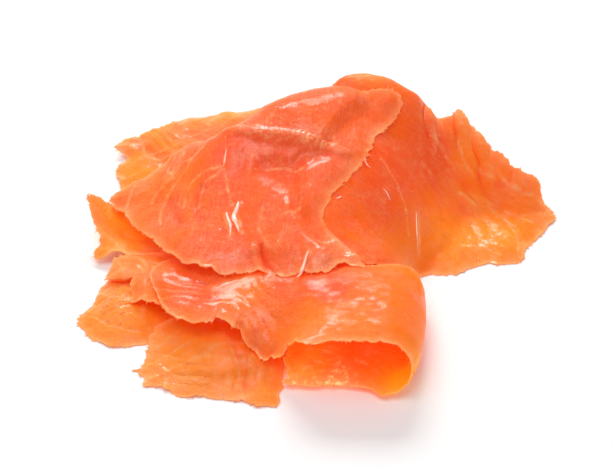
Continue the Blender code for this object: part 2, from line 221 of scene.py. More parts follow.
RIGHT = {
    "node": "right_slice", "slot": "salmon_flesh", "cells": 190, "seed": 16,
    "edge": (
        (39, -12, 1), (51, -12, 1), (64, -6, 1), (79, -4, 1), (84, 5, 1), (91, 14, 1), (98, 26, 2),
        (93, 33, 5), (91, 39, 13), (83, 40, 17), (70, 47, 26), (62, 54, 30), (57, 61, 32), (52, 57, 31),
        (46, 56, 32), (46, 68, 18), (42, 79, 7), (28, 85, 4), (12, 87, 4), (-2, 80, 9), (-8, 64, 28),
        (-10, 40, 34), (-10, 12, 35), (-7, -8, 32), (-2, -23, 26), (12, -29, 23), (26, -23, 15),
    ),
    "pins": (
        (40, 59, 38), (28, 61, 45), (18, 63, 47), (8, 62, 46), (36, 70, 26), (14, 75, 28), (28, 50, 39),
        (14, 51, 40), (2, 51, 39), (20, 20, 34), (20, 36, 37), (31, 37, 30), (40, 37, 22), (49, 37, 13),
        (61, 33, 7), (74, 29, 4), (86, 26, 3), (31, 8, 20), (45, 10, 7), (60, 10, 2), (75, 12, 1),
    ),
    "middle": (32, 28), "grain": (-14, 0.0),
    "bands": ((64, 45, 17, 39, 5.4, 1.3), (50, 22, 20, 50, 7.0, 0.4), (74, 12, 16, 20, 6.0, 0.35)),
    "fat_lines": (
        ((53.6, 57), (54.3, 53), (55, 49)), ((61.5, 54), (62, 47), (64, 42), (67, 39), (71, 36.5)),
        ((70, 45.5), (70, 42), (68, 40.5)), ((45.2, 50), (46.7, 46), (50.3, 44), (55, 40.5)),
        ((56, 47.6), (59, 42), (63, 38)), ((69, 40), (75.6, 36.7), (83.2, 32.7), (91, 31.5), (96, 26)),
        ((79.8, 37.5), (79.6, 35.4), (83.2, 33.7)),
        ((69, 29), (72.8, 25), (77.3, 19), (79.3, 10), (79, 4)), ((76, 27), (81.2, 23.4), (86.5, 20.8)),
        ((37, 10.6), (37, 3.6), (37.3, -5)), ((56, 33.3), (60, 31.6), (62.4, 29.4)),
        ((56, 5), (64, 4), (72, 0)), ((81.5, 24), (86.5, 26)), ((22, 22), (30, 12), (33, 0)),
    ),
    "creases": (
        ((54, 57), (55, 51), (56, 46), -1.2, 1.0), ((62, 54), (62.5, 46), (65, 41), -1.2, 1.0),
        ((70, 46), (69.5, 42), (66, 38), -0.7, 1.1), ((46, 50), (48, 45), (55, 39), -0.6, 1.2),
        ((58, 46), (62, 40), (68, 35), -0.4, 1.2), ((79, 39), (78, 36), (72, 35), -0.7, 1.2),
        ((84, 39), (86, 35), (82, 33), -0.6, 1.0), ((41.5, 57), (41, 51), (43, 46), -1.6, 1.2),
        ((45, 56), (44.5, 50), (46.5, 45), 1.2, 1.6), ((50, 54), (51, 48), (57, 40), 0.7, 1.8),
        ((58.5, 56), (59, 49), (63, 41), 0.7, 1.8), ((66, 49), (66.5, 44), (70, 39), 0.7, 1.6),
        ((52, 40), (62, 35), (74, 31), -0.5, 2.5), ((44, 34), (54, 33), (64, 29), 0.4, 2.0),
    ),
    "patches": {
        "gold": (
            (72, 12, 16, 1.2), (56, 2, 12, 0.8), (62, 38, 12, 0.6), (40, 72, 10, 1.2), (20, 66, 9, 0.8),
        ),
        "rose": ((50, 28, 8, 1.0), (58, 26, 6, 0.8)),
        "deep_and_shade": ((58, 34, 10, 0.6), (24, 20, 16, 0.6), (46, 38, 9, 0.9), (50, 44, 8, 0.6)),
        "pale": (
            (60, -6, 9, 0.5), (94, 26, 5, 0.9), (88, 34, 5, 0.6), (66, 50, 7, 0.4), (12, 63, 6, 1.2),
            (24, 62, 6, 1.0),
        ),
        "wet": ((66, 3, 8, 1.2), (48, 46, 5, 1.0), (40, 16, 9, 0.5)),
    },
}
TOP = {
    "node": "top_slice", "slot": "salmon_flesh_red", "cells": 200, "seed": 17,
    "edge": (
        (-91, 22, 12), (-84, 12, 13), (-77, 2, 14), (-63, -17, 17), (-54, -27, 19), (-39, -33, 20),
        (-26, -32, 20), (-18, -37, 20), (-10, -37, 24), (0, -38, 26), (6, -34, 28), (14, -37, 24),
        (15, -32, 26), (6, -22, 30), (0, -13, 33), (4, -1, 36), (15, 15, 38), (24, 35, 41), (33, 50, 42),
        (28, 56, 46), (17, 55, 47), (6, 58, 46), (-4, 68, 32), (-20, 65, 27), (-34, 52, 27),
        (-46, 41, 31), (-58, 41, 27), (-73, 32, 19), (-84, 29, 14),
    ),
    "pins": (
        (-2, 56, 45), (-15, 52, 43), (-25, 46, 42), (-40, 33, 39), (-27, 29, 41), (-13, 24, 42),
        (2, 20, 42), (-27, 20, 35), (-13, 15, 36), (2, 10, 38), (-40, 5, 28), (-20, -5, 29),
        (-45, -12, 23), (-5, -15, 31), (-62, 10, 19), (15, 35, 43),
    ),
    "middle": (-24, 6), "grain": (84, 0.0),
    "bands": ((-64, 20, 15, -30, 5.0, 0.5), (-52, -6, 15, -15, 5.0, 0.35), (-8, -26, 12, 20, 4.5, 0.4)),
    "fat_lines": (
        ((-40.3, 31), (-40.2, 24), (-40.7, 18.4)),
        ((-40.7, 18.4), (-46.3, 18.6), (-52.5, 17), (-56, 12), (-57, 6)),
        ((-40.7, 18.4), (-44.4, 15.6), (-48, 13.5), (-49.6, 9), (-50, 3)),
        ((-40.7, 18.4), (-39.6, 12), (-38.7, 7.5), (-37, -0.5)),
        ((-35.6, -1), (-36, -5), (-34.3, -10.4), (-33, -14.3)),
        ((-40, -5.6), (-38.1, -10.8), (-37.5, -15)),
        ((-24.8, -3.3), (-26.2, -8.5), (-25.9, -13.7), (-23.2, -19.7), (-18.9, -23.9)),
        ((-16.2, -8), (-13.2, -7.2), (-9.8, -6.3)), ((-1, -23.2), (2.7, -21.6), (5, -21.3)),
        ((-24, 15.3), (-19.4, 15.6), (-13.3, 13.4), (-9, 12)),
        ((-57.6, 37.4), (-58.6, 29), (-64, 21.8), (-69, 18), (-71, 14)),
        ((-62.3, 35.4), (-64.4, 28.2), (-62, 22)), ((-79, 27), (-81, 20), (-82, 15)),
        ((-46, 39), (-50, 30), (-56, 27)), ((-62, 20), (-66, 8), (-66, 0)),
        ((-54, 27), (-60, 20), (-66, 12)),
    ),
    "creases": (
        ((-41, 34.5), (-28.7, 30.2), (-18.5, 27), (0, 20.5), (8, 18), 1.3, 1.7),
        ((-36, 28), (-28.7, 26.5), (-18.5, 23.5), (0, 17), -0.6, 2.2),
        ((-25.3, -21), (-24, -26.5), (-21, -33), -1.6, 1.3),
        ((-28, -22), (-27, -28), (-25, -33), 0.7, 1.6),
        ((-32.7, 23.6), (-33.7, 19.2), (-34.3, 16), -0.4, 1.6),
        ((-30, 20), (-31, 16), (-31, 12), 0.5, 1.6), ((-40, 30), (-40.5, 24), (-41, 18), -0.7, 1.0),
        ((-34, -1), (-35, -7), (-33, -15), 0.7, 1.0), ((-40, -5), (-38, -11), (-37.5, -16), 0.5, 0.9),
        ((-57, 38), (-59, 28), (-66, 20), 0.6, 1.5), ((-63, 34), (-66, 26), (-68, 20), -0.6, 1.3),
        ((-50, 12), (-51, 4), (-50, -4), -0.5, 2.0), ((-62, 12), (-60, 2), (-56, -6), -0.4, 2.2),
    ),
    "patches": {
        "rose": (
            (-44, 24, 8, 0.8), (-26, -26, 8, 0.6), (-30, 24, 12, 0.7), (-12, -30, 9, 0.5),
            (-38, -22, 12, 0.4), (6, 12, 8, 0.5),
        ),
        # The deep patches below the ridge crease are painted shade; the first five pale patches, along the
        # ridge, are a painted highlight
        "deep_and_shade": ((-28, 24, 7, 1.0), (-16, 20, 8, 0.6), (-3, 14, 8, 0.6), (-22, 22, 12, 0.5)),
        "pale": (
            (-36, 36, 4, 0.9), (-28, 34, 5, 0.9), (-19, 31, 5, 0.9), (-10, 28, 5, 0.9), (-1, 25, 5, 0.8),
            (-24, -12, 5, 0.5), (-18, -19, 5, 0.7), (-8, -31, 4, 0.6), (-70, 22, 10, 0.35),
            (14, 15, 3, 1.2), (23, 34, 3, 0.8), (2, -3, 3, 1.0), (-4, -34, 6, 0.9), (8, -34, 6, 0.9),
        ),
        "wet": (
            (-54, 0, 7, 1.0), (-42, -24, 7, 1.0), (-34, -25, 6, 1.2), (-18, -17, 6, 0.8),
            (-6, 27, 12, 0.7), (-33, 15, 5, 0.6), (-10, -30, 9, 1.0), (-26, 30, 10, 1.0),
            (4, -30, 7, 0.8), (-44, -12, 12, 0.8),
        ),
    },
    "sags": ((4, -8, 13, 14), (10, 8, 14, 14), (20, 28, 14, 14), (31, 48, 12, 14), (8, -28, 8, 6)),
}
CORE = {
    "node": "inner_folds", "slot": "salmon_flesh", "cells": 90, "seed": 18,
    "edge": (
        (-55, 5, 6), (-42, -17, 8), (-22, -23, 9), (-4, -20, 12), (12, -13, 12), (28, 2, 10),
        (33, 22, 16), (37, 42, 20), (39, 60, 20), (34, 74, 6), (22, 80, 3), (6, 79, 3), (-5, 66, 16),
        (-15, 46, 27), (-30, 38, 18), (-48, 24, 8),
    ),
    "pins": (
        (-30, 24, 29), (-10, 18, 33), (10, 22, 32), (-10, -4, 25), (-32, 0, 19), (12, 0, 24),
        (0, 44, 33), (14, 48, 34), (26, 48, 32), (20, 60, 38), (8, 60, 36), (18, 70, 24),
    ),
    "middle": (-4, 24), "grain": (30, 0.004), "flakes": (9, 0.4),
}

# The middle of the pile: its depth of colour, painted as deep shade, its distance from any rim, and its foot
CORE_DROP = 0.6
CORE_LEAST = 1.0
CORE_DEPTH = 1.2
CORE_FROM_RIM = 9.0
CORE_FOOT = 0.4
CORE_REACH = 60

# The rolled slice: its upper run from left to right, the bend, and the run back along the table
ROLL = {
    "node": "rolled_slice", "slot": "salmon_flesh", "seed": 19,
    "grain": (0, 0.0),
    "bands": ((-55, -36, 14, 75, 5.0, 0.5), (-28, -52, 12, 35, 4.5, 0.5), (8, -55, 22, 62, 6.0, 0.12)),
    "patches": {
        "rose": ((12, -38, 12, 0.6), (-52, -34, 10, 0.4)),
        # The deep patches are painted shade, most of them under the top slice's lip
        "deep_and_shade": (
            (0, -30, 11, 1.3), (-18, -28, 9, 0.9), (0, -44, 9, 1.5), (-14, -43, 8, 1.2),
            (-46, -44, 9, 0.6),
        ),
        "pale": ((-33, -54, 7, 0.5), (4, -62, 14, 0.4)),
        "wet": ((-35, -52, 11, 0.9), (-20, -50, 8, 0.6), (-52, -34, 9, 0.6)),
        # Inner gold and inner pale paint the glow of light coming through the sheet, inside the roll's hollow
        "inner gold": ((-8, -63, 9, 1.6), (34, -76, 12, 2.4)),
        "inner pale": ((2, -74, 6, 1.5), (-12, -72, 7, 1.4), (9, -78, 4, 0.8)),
    },
}
ROLL_FRONT = (
    (-69, -27, 14), (-60, -48, 13), (-46, -56, 15), (-36, -58, 16), (-31, -63, 12), (-24, -69, 8),
    (-18, -69, 10), (-14, -72, 20), (-6, -75, 23), (2, -74, 24), (10, -75, 24), (20, -75, 24),
)
ROLL_BACK = (
    (-68, -20, 13), (-60, -14, 13), (-40, -14, 15), (-20, -18, 18), (0, -24, 20), (14, -28, 20),
    (26, -27, 20),
)
ROLL_PINS = ((-50, -38, 15), (-30, -42, 17), (-10, -50, 21), (10, -50, 25), (14, -36, 25), (-10, -32, 21))
BEND_FRONT = (29, -79)
BEND_MIDDLE = (38, -52)
BEND_BACK = (37, -27)
BEND_DEPTH = 10
FRONT_LEAN = 7
UNDER_RUN_LEAN = 0.25
UNDER_RUN_END = -19
UNDER_RUN_THICKNESS = 0.8 * THICKNESS
ROLL_CELLS_ALONG = 150
ROLL_CELLS_ACROSS = 110
BEND_CELLS = 50
UNDER_RUN_CELLS = 80
BEND_SMOOTHINGS = 6
LEAST_ROLL_DEPTH = 3
ROLL_CHANCE = 10 * ROLL["seed"]

# The tears in the roll's front edge: how deep they are, most of all round the tongue, and the run's notch
TONGUE_AT, TONGUE_REACH = -26, 18
TEAR, TONGUE_TEAR, TABLE_TEAR = 0.9, 1.6, 0.3
NOTCH_AT = 18
NOTCH_DEPTH = 0.9
TEAR_REACH = 5.0

# Patch kinds: gold and rose tint the flesh, and gold also turns the painted glow golden; deep reddens it,
# mostly as painted shade; pale frosts it, partly as a painted highlight; wet makes it glossy; hollow, inner
# gold and inner pale paint the glow of light coming through a hollow's sheet
PATCH_KINDS = ("gold", "rose", "deep_and_shade", "pale", "wet", "hollow", "inner gold", "inner pale")

READ_BY_MATERIALS = ("gold", "rose", "pale", "wet", "hollow")

TABLES_OF_CHANCE = {}
TABLE_SIZE = 64


def noise(x, y, seed):
    """Smooth noise between -1 and 1 whose bumps are 1 unit apart."""
    if seed not in TABLES_OF_CHANCE:
        TABLES_OF_CHANCE[seed] = np.random.default_rng(seed).uniform(-1, 1, (TABLE_SIZE, TABLE_SIZE))
    table = TABLES_OF_CHANCE[seed]
    i, j = np.floor(x).astype(int), np.floor(y).astype(int)
    u, v = x - i, y - j
    u, v = u * u * (3 - 2 * u), v * v * (3 - 2 * v)
    beyond_i, beyond_j = (i + 1) % TABLE_SIZE, (j + 1) % TABLE_SIZE
    i, j = i % TABLE_SIZE, j % TABLE_SIZE
    near = table[j, i] * (1 - u) + table[j, beyond_i] * u
    far = table[beyond_j, i] * (1 - u) + table[beyond_j, beyond_i] * u
    return near * (1 - v) + far * v


def ripple(x, y, wave, seed):
    height, width = wave
    return height * noise(x / width, y / width, seed)


def smooth_step(share):
    """Turns a share from 0 to 1 into one that starts and ends gently."""
    share = np.clip(share, 0, 1)
    return share * share * (3 - 2 * share)


def soft_spot(x, y, middle_x, middle_y, radius):
    """How strong a round spot is at these places: 1 in its middle, fading outwards."""
    return np.exp(-((x - middle_x) ** 2 + (y - middle_y) ** 2) / radius**2)


def smooth_curve(points, closed):
    """A Catmull-Rom curve through the points, with STEPS_PER_POINT places after each of them."""
    points = np.array(points, float)
    if closed:
        before, after, beyond = np.roll(points, 1, 0), np.roll(points, -1, 0), np.roll(points, -2, 0)
        here = points
    else:
        padded = np.vstack([2 * points[0] - points[1], points, 2 * points[-1] - points[-2]])
        before, here, after, beyond = padded[:-3], padded[1:-2], padded[2:-1], padded[3:]
    t = np.linspace(0, 1, STEPS_PER_POINT, endpoint=False)[:, None]
    pieces = [
        b + t * (c - a) / 2 + t**2 * (a - 2.5 * b + 2 * c - d / 2) + t**3 * (1.5 * (b - c) + (d - a) / 2)
        for a, b, c, d in zip(before, here, after, beyond)
    ]
    curve = np.vstack(pieces)
    return curve if closed else np.vstack([curve, points[-1]])


def places_along(curve, shares):
    """The places on the curve at these shares, from 0 to 1, of its length."""
    lengths = np.linalg.norm(np.diff(curve[:, :2], axis=0), axis=1)
    so_far = np.concatenate([[0.0], np.cumsum(lengths)])
    wanted = np.asarray(shares) * so_far[-1]
    return np.stack([np.interp(wanted, so_far, column) for column in curve.T], axis=-1)


def bending(distance_squared):
    """The thin plate's answer to a push at one point: r squared times log r."""
    return 0.5 * distance_squared * np.log(distance_squared + 1e-9)


def thin_plate(points):
    """A function of (x, y) that gives the height of the thin plate through the points."""
    points = np.array(points, float)
    centres, heights = points[:, :2], points[:, 2]
    count = len(points)
    gaps = ((centres[:, None] - centres[None]) ** 2).sum(-1)
    flat = np.column_stack([np.ones(count), centres])
    system = np.zeros((count + 3, count + 3))
    system[:count, :count] = bending(gaps) + THIN_PLATE_GIVE * np.eye(count)
    system[:count, count:] = flat
    system[count:, :count] = flat.T
    answer = np.linalg.solve(system, np.concatenate([heights, np.zeros(3)]))

    def height(x, y):
        total = answer[count] + answer[count + 1] * x + answer[count + 2] * y
        for (cx, cy), weight in zip(centres, answer[:count]):
            total = total + weight * bending((x - cx) ** 2 + (y - cy) ** 2)
        return total

    return height


class Pile:
    """The height of the top of what has been laid so far, on a square map."""

    def __init__(self):
        self.xs = np.arange(-MAP_HALF_X, MAP_HALF_X + MAP_STEP, MAP_STEP)
        self.ys = np.arange(-MAP_HALF_Y, MAP_HALF_Y + MAP_STEP, MAP_STEP)
        self.top = np.zeros((len(self.ys), len(self.xs)))
        self.surfaces, self.rims = [], []

    def ground(self):
        """The top of the pile, softened, and falling away outside the slices' edges."""
        top = self.top.copy()
        for _ in range(RUN_OFF_CELLS):
            for axis in (0, 1):
                for way in (-1, 1):
                    top = np.maximum(top, np.roll(top, way, axis) - RUN_OFF_SLOPE * MAP_STEP)
        for _ in range(MAP_BLURS):
            for axis in (0, 1):
                top = (np.roll(top, 1, axis) + 2 * top + np.roll(top, -1, axis)) / 4
        return np.maximum(top, 0)

    def read(self, field, x, y):
        """A map's height at these places."""
        column = np.clip((x - self.xs[0]) / MAP_STEP, 0, len(self.xs) - 1.001)
        row = np.clip((y - self.ys[0]) / MAP_STEP, 0, len(self.ys) - 1.001)
        i, j = column.astype(int), row.astype(int)
        u, v = column - i, row - j
        near = field[j, i] * (1 - u) + field[j, i + 1] * u
        far = field[j + 1, i] * (1 - u) + field[j + 1, i + 1] * u
        return near * (1 - v) + far * v

    def add(self, points):
        """Raises the map to these points."""
        column = np.rint((points[..., 0] - self.xs[0]) / MAP_STEP).astype(int)
        row = np.rint((points[..., 1] - self.ys[0]) / MAP_STEP).astype(int)
        cell = np.clip(row, 0, len(self.ys) - 1).ravel(), np.clip(column, 0, len(self.xs) - 1).ravel()
        np.maximum.at(self.top, cell, points[..., 2].ravel())

    def settle(self, middle, thickness, sag=SAG):
        """Rests a sheet on the pile: it is lifted clear, and a small gap under it closes as it sags."""
        ground = self.ground()
        below = self.read(ground, middle[..., 0], middle[..., 1])
        upright = thickness / 2 / np.clip(normals_of(middle)[..., 2], STEEPEST, 1)
        need = below + upright + np.where(below < ON_TABLE, TABLE_GAP, LAYER_GAP)
        gap = middle[..., 2] - need
        middle[..., 2] = need + np.maximum(gap, 0) * smooth_step(gap / sag)
        return below


def normals_of(grid):
    """Each grid point's upward normal."""
    across, along = np.gradient(grid, axis=1), np.gradient(grid, axis=0)
    normal = np.cross(across, along)
    return normal / (np.linalg.norm(normal, axis=-1, keepdims=True) + 1e-12)


def ragged_outline(slice_):
    """The slice's edge, turned to run against the clock, and the same with small tears and nicks."""
    outline = smooth_curve(slice_["edge"], closed=True)[:, :2]
    area = np.sum(outline[:, 0] * np.roll(outline[:, 1], -1) - outline[:, 1] * np.roll(outline[:, 0], -1))
    if area < 0:
        outline = outline[::-1]
    closed = np.vstack([outline, outline[:1]])
    length = np.linalg.norm(np.diff(closed, axis=0), axis=1).sum()
    outline = places_along(closed, np.arange(0, 1, OUTLINE_STEP / length))
    ahead = np.roll(outline, -3, 0) - np.roll(outline, 3, 0)
    inward = np.column_stack([-ahead[:, 1], ahead[:, 0]]) / np.linalg.norm(ahead, axis=1)[:, None]
    x, y = outline.T
    seed = slice_["seed"] * 10
    rag = RIM_WAVES[0] + ripple(x, y, RIM_WAVES, seed)
    rag += BITE_DEPTH * noise(x / BITE_WIDTH, y / BITE_WIDTH, seed + 1) ** 2
    rag += NICK_DEPTH * abs(noise(x / NICK_WIDTH, y / NICK_WIDTH, seed + 2))
    return outline, outline + inward * (RAG_DEPTH * rag)[:, None]


def spread_over(smooth, ragged, middle, cells):
    """A grid's (x, y) points, whose square rings are smaller and smaller copies of the outline."""
    u, v = np.meshgrid(np.linspace(-1, 1, cells + 1), np.linspace(-1, 1, cells + 1))
    ring = np.maximum(abs(u), abs(v))
    safe = np.where(ring == 0, 1, ring)
    a, b = u / safe, v / safe
    sides = [(a + 1) / 2, 1 + (b + 1) / 2, 2 + (1 - a) / 2]
    share = np.select([b <= -1, a >= 1, b >= 1], sides, 3 + (1 - b) / 2) / 4 % 1.0
    at = share[..., None] * len(smooth)
    places = np.arange(len(smooth) + 1)
    calm, torn = (
        np.stack([np.interp(at[..., 0], places, np.append(line[:, k], line[0, k])) for k in (0, 1)], -1)
        for line in (smooth, ragged)
    )
    middle = np.array(middle, float)
    grid = middle + ring[..., None] * (calm - middle) + ring[..., None] ** RAG_FADE * (torn - calm)
    for _ in range(RELAXING_ROUNDS):
        inner = (grid[2:, 1:-1] + grid[:-2, 1:-1] + grid[1:-1, 2:] + grid[1:-1, :-2]) / 4
        grid[1:-1, 1:-1] = 0.5 * (grid[1:-1, 1:-1] + inner)
    return grid


def distance_to(x, y, path):
    """How far each place lies from the nearest point of the path."""
    near = np.full(x.shape, 1e9)
    for px, py in path:
        near = np.minimum(near, (x - px) ** 2 + (y - py) ** 2)
    return np.sqrt(near)


def distance_to_rim(grid, outline):
    """How far each grid point lies from the outline, worked out in parts to spare memory."""
    parts = np.array_split(grid.reshape(-1, 2), RIM_SEARCH_PARTS)
    near = [np.sqrt(((part[:, None] - outline[None]) ** 2).sum(-1).min(1)) for part in parts]
    return np.concatenate(near).reshape(grid.shape[:2])


def marks_of(slice_, x, y, along, across):
    """The fat lines, and the soft patches, of a slice at these places."""
    seed = slice_["seed"] * 10
    wx, wy = x + ripple(x, y, FAT_STRAY, seed + 3), y + ripple(x, y, FAT_STRAY, seed + 4)
    fat = np.zeros(x.shape)
    for line in slice_.get("fat_lines", ()):
        near = distance_to(wx, wy, smooth_curve(line, closed=False))
        patchy = 0.75 + 0.6 * noise(x / 2.6, y / 2.6, seed + 5)
        fat = np.maximum(fat, patchy * np.exp(-((near / FAT_LINE_WIDTH) ** 2)))
    if "flakes" in slice_:
        spacing, strength = slice_["flakes"]
        place = (along + slice_["grain"][1] * across**2) / spacing + 0.5 * noise(x / 14, y / 14, seed + 6)
        off = (place - np.rint(place)) * spacing
        patchy = np.clip(0.3 + noise(x / 12, y / 12, seed + 7), 0, 1)
        fat = np.maximum(fat, strength * 2 * patchy * np.exp(-((off / FLAKE_LINE_WIDTH) ** 2)))
    patches = {kind: np.zeros(x.shape) for kind in PATCH_KINDS}
    for kind, spots in slice_.get("patches", {}).items():
        for *middle, radius, amount in spots:
            cloudy = 0.75 + 0.5 * noise(x / (radius * 0.6), y / (radius * 0.6), seed + 8)
            patches[kind] += amount * soft_spot(x, y, *middle, radius) * cloudy
    return np.clip(fat, 0, 1.3), patches


def creases_of(slice_, x, y):
    """The height of a slice's creases, and of the bands of flakes between its furrows."""
    height = np.zeros(x.shape)
    for *line, depth, width in slice_.get("creases", ()):
        near = distance_to(x, y, smooth_curve(line, closed=False))
        height += depth * np.exp(-((near / width) ** 2))
    for bx, by, radius, angle, spacing, depth in slice_.get("bands", ()):
        turn = math.radians(angle)
        place = ((x - bx) * math.cos(turn) + (y - by) * math.sin(turn)) / spacing
        place += 0.7 * noise(x / 11, y / 11, slice_["seed"] * 10 + 10)
        rounded = np.sqrt(abs(2 * (place - np.floor(place)) - 1)) - 0.66
        height += depth * rounded * soft_spot(x, y, bx, by, radius)
    return height


def grain_of(slice_, x, y):
    """How far each place lies along the slice's fibres, and across them."""
    angle = math.radians(slice_["grain"][0])
    return x * math.cos(angle) + y * math.sin(angle), -x * math.sin(angle) + y * math.cos(angle)


def undulation(x, y, seed):
    """The slow rise and fall of a sheet that isn't quite flat."""
    return ripple(x, y, SWELL, seed + 20) + ripple(x, y, LESSER_SWELL, seed + 21)


def fine_relief(x, y, along, across, fat, seed):
    """The wet surface's small bumps and fibres, and the shallow grooves along its fat lines."""
    bumps = ripple(x, y, BUMPS, seed + 22) + ripple(x, y, SMALL_BUMPS, seed + 23)
    fibres = FIBRE_HEIGHT * noise(along / FIBRE_LENGTH, across / FIBRE_WIDTH, seed + 24)
    return bumps + fibres - FAT_GROOVE * fat


def faces_of_grid(rows, columns, start, turned):
    """A grid's four-sided faces, whose points are numbered from start, facing down if turned."""
    j, i = np.meshgrid(np.arange(rows - 1), np.arange(columns - 1), indexing="ij")
    corner = (start + j * columns + i).ravel()
    quads = np.stack([corner, corner + 1, corner + columns + 1, corner + columns], -1)
    return quads[:, ::-1] if turned else quads


def rim_of_grid(rows, columns):
    """The grid's border points, once round against the clock."""
    first = np.arange(columns - 1)
    right = np.arange(rows - 1) * columns + columns - 1
    last = rows * columns - 1 - np.arange(columns - 1)
    left = (rows - 1 - np.arange(rows - 1)) * columns
    return np.concatenate([first, right, last, left])


def shell(middle, normals, thickness, raised, lowered):
    """The points and faces of a closed sheet: its top, its underside and the round rim between them."""
    rows, columns = middle.shape[:2]
    top = middle + normals * (thickness / 2 + raised)[..., None]
    bottom = middle - normals * (thickness / 2 + lowered)[..., None]
    bottom[..., 2] = np.maximum(bottom[..., 2], LOWEST_POINT)
    count = rows * columns
    rim = rim_of_grid(rows, columns)
    flat = middle.reshape(-1, 3)
    ahead = flat[np.roll(rim, -1)] - flat[np.roll(rim, 1)]
    outward = np.cross(ahead, normals.reshape(-1, 3)[rim])
    outward /= np.linalg.norm(outward, axis=1, keepdims=True) + 1e-9
    lip = (top.reshape(-1, 3)[rim] + bottom.reshape(-1, 3)[rim]) / 2
    lip += outward * (RIM_BULGE * thickness.reshape(-1)[rim])[:, None]
    lip[:, 2] = np.maximum(lip[:, 2], LOWEST_LIP)
    points = np.vstack([top.reshape(-1, 3), bottom.reshape(-1, 3), lip])
    ring = 2 * count + np.arange(len(rim))
    beyond, next_rim = np.roll(ring, -1), np.roll(rim, -1)
    upper = np.stack([rim, ring, beyond, next_rim], -1)
    lower = np.stack([ring, rim + count, next_rim + count, beyond], -1)
    faces = np.vstack([
        faces_of_grid(rows, columns, 0, False), faces_of_grid(rows, columns, count, True), upper, lower,
    ])
    return points, faces, rim, top


def for_every_point(field, rim):
    """A grid's values for a shell's top, underside and rim."""
    flat = field.reshape(-1, *field.shape[2:])
    return np.concatenate([flat, flat, flat[rim]])


def add_attribute(mesh, label, field):
    """Gives every point of the mesh a number, or a vector."""
    vector = field.ndim == 2
    attribute = mesh.attributes.new(label, "FLOAT_VECTOR" if vector else "FLOAT", "POINT")
    attribute.data.foreach_set("vector" if vector else "value", field.astype(np.float32).ravel())


def place_object(name, data):
    piece = bpy.data.objects.new(name, data)
    bpy.context.scene.collection.objects.link(piece)
    return piece


def hand_over(piece, node=None):
    """Gives a finished piece its body, and hides the solid that it stands in for, if any."""
    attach(piece, "root")
    if node:
        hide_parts(node)


def looks_of(edge, deep_and_shade, fat, patches, along, across, rim):
    """What the materials read, for every point of a shell."""
    fields = {"edge": edge, "deep_and_shade": deep_and_shade, "fat": fat}
    fields |= {kind: patches[kind] for kind in READ_BY_MATERIALS}
    fields["grain"] = np.dstack([along, across, 0 * along])
    return {label: for_every_point(field, rim) for label, field in fields.items()}


def make_flesh(slice_, points, faces, looks, materials):
    """A slice's mesh, handed over in place of its solid."""
    name = slice_["node"] + "_flesh"
    mesh = bpy.data.meshes.new(name)
    mesh.vertices.add(len(points))
    mesh.vertices.foreach_set("co", ((points - PILE_MIDDLE) * MM).astype(np.float32).ravel())
    mesh.loops.add(faces.size)
    mesh.loops.foreach_set("vertex_index", faces.astype(np.int32).ravel())
    mesh.polygons.add(len(faces))
    mesh.polygons.foreach_set("loop_start", np.arange(0, faces.size, 4, dtype=np.int32))
    mesh.update(calc_edges=True)
    mesh.shade_smooth()
    for label, field in looks.items():
        add_attribute(mesh, label, field)
    mesh.materials.append(materials[slice_["slot"]])
    hand_over(place_object(name, mesh), slice_["node"])


def thickness_at(edge):
    """How thick a slice is at these distances from its rim."""
    return RIM_THICKNESS + (THICKNESS - RIM_THICKNESS) * smooth_step(edge / RIM_TAPER) ** RIM_FULLNESS


def finish_sheet(slice_, middle, edge, below, along, across, pile, materials, inside=0.0):
    """Gives a laid sheet its thickness, relief and looks. Inside is how far into a hollow each point lies."""
    x, y = middle[..., 0], middle[..., 1]
    seed = slice_["seed"] * 10
    fat, patches = marks_of(slice_, x, y, along, across)
    raised = fine_relief(x, y, along, across, fat, seed)
    lowered = fine_relief(x + 30, y, along, across, fat * 0, seed + 3)
    calm = smooth_step(edge / CALM_RIM)
    folds = creases_of(slice_, x, y)
    if slice_ is ROLL:
        raised += folds * (1 - inside)
    # Painted shade in the furrows, and a painted highlight on the raised folds
    patches["deep_and_shade"] += np.clip(-FURROW_SHADE * folds, 0, DARKEST_FURROW_SHADE)
    patches["pale"] += np.clip(FOLD_HIGHLIGHT * folds, 0, BRIGHTEST_FOLD_HIGHLIGHT)
    thickness, normals = thickness_at(edge), normals_of(middle)
    points, faces, rim, top = shell(middle, normals, thickness, raised * calm, lowered * calm)
    pile.add(top)
    pile.surfaces.append((top, patches["wet"]))
    lip = points[-len(rim):]
    pile.rims.append((lip, lip - middle.reshape(-1, 3)[rim]))
    # Painted glow of light coming through the roll's sheet: the hollow, with its golden and pale spots
    patches["hollow"] += inside
    patches["gold"] += inside * patches["inner gold"]
    patches["pale"] += inside * patches["inner pale"]
    # Painted shade: redder where more flesh lies below, plus the deep patches
    deep_and_shade = DEPTH_SHARE * np.clip(below / DEEP_FLESH, 0, 1) + patches["deep_and_shade"]
    looks = looks_of(edge, deep_and_shade, fat, patches, along, across, rim)
    points[:, 2] = np.minimum(points[:, 2], TALLEST + PRESSED_SHARE * (points[:, 2] - TALLEST))
    make_flesh(slice_, points, faces, looks, materials)


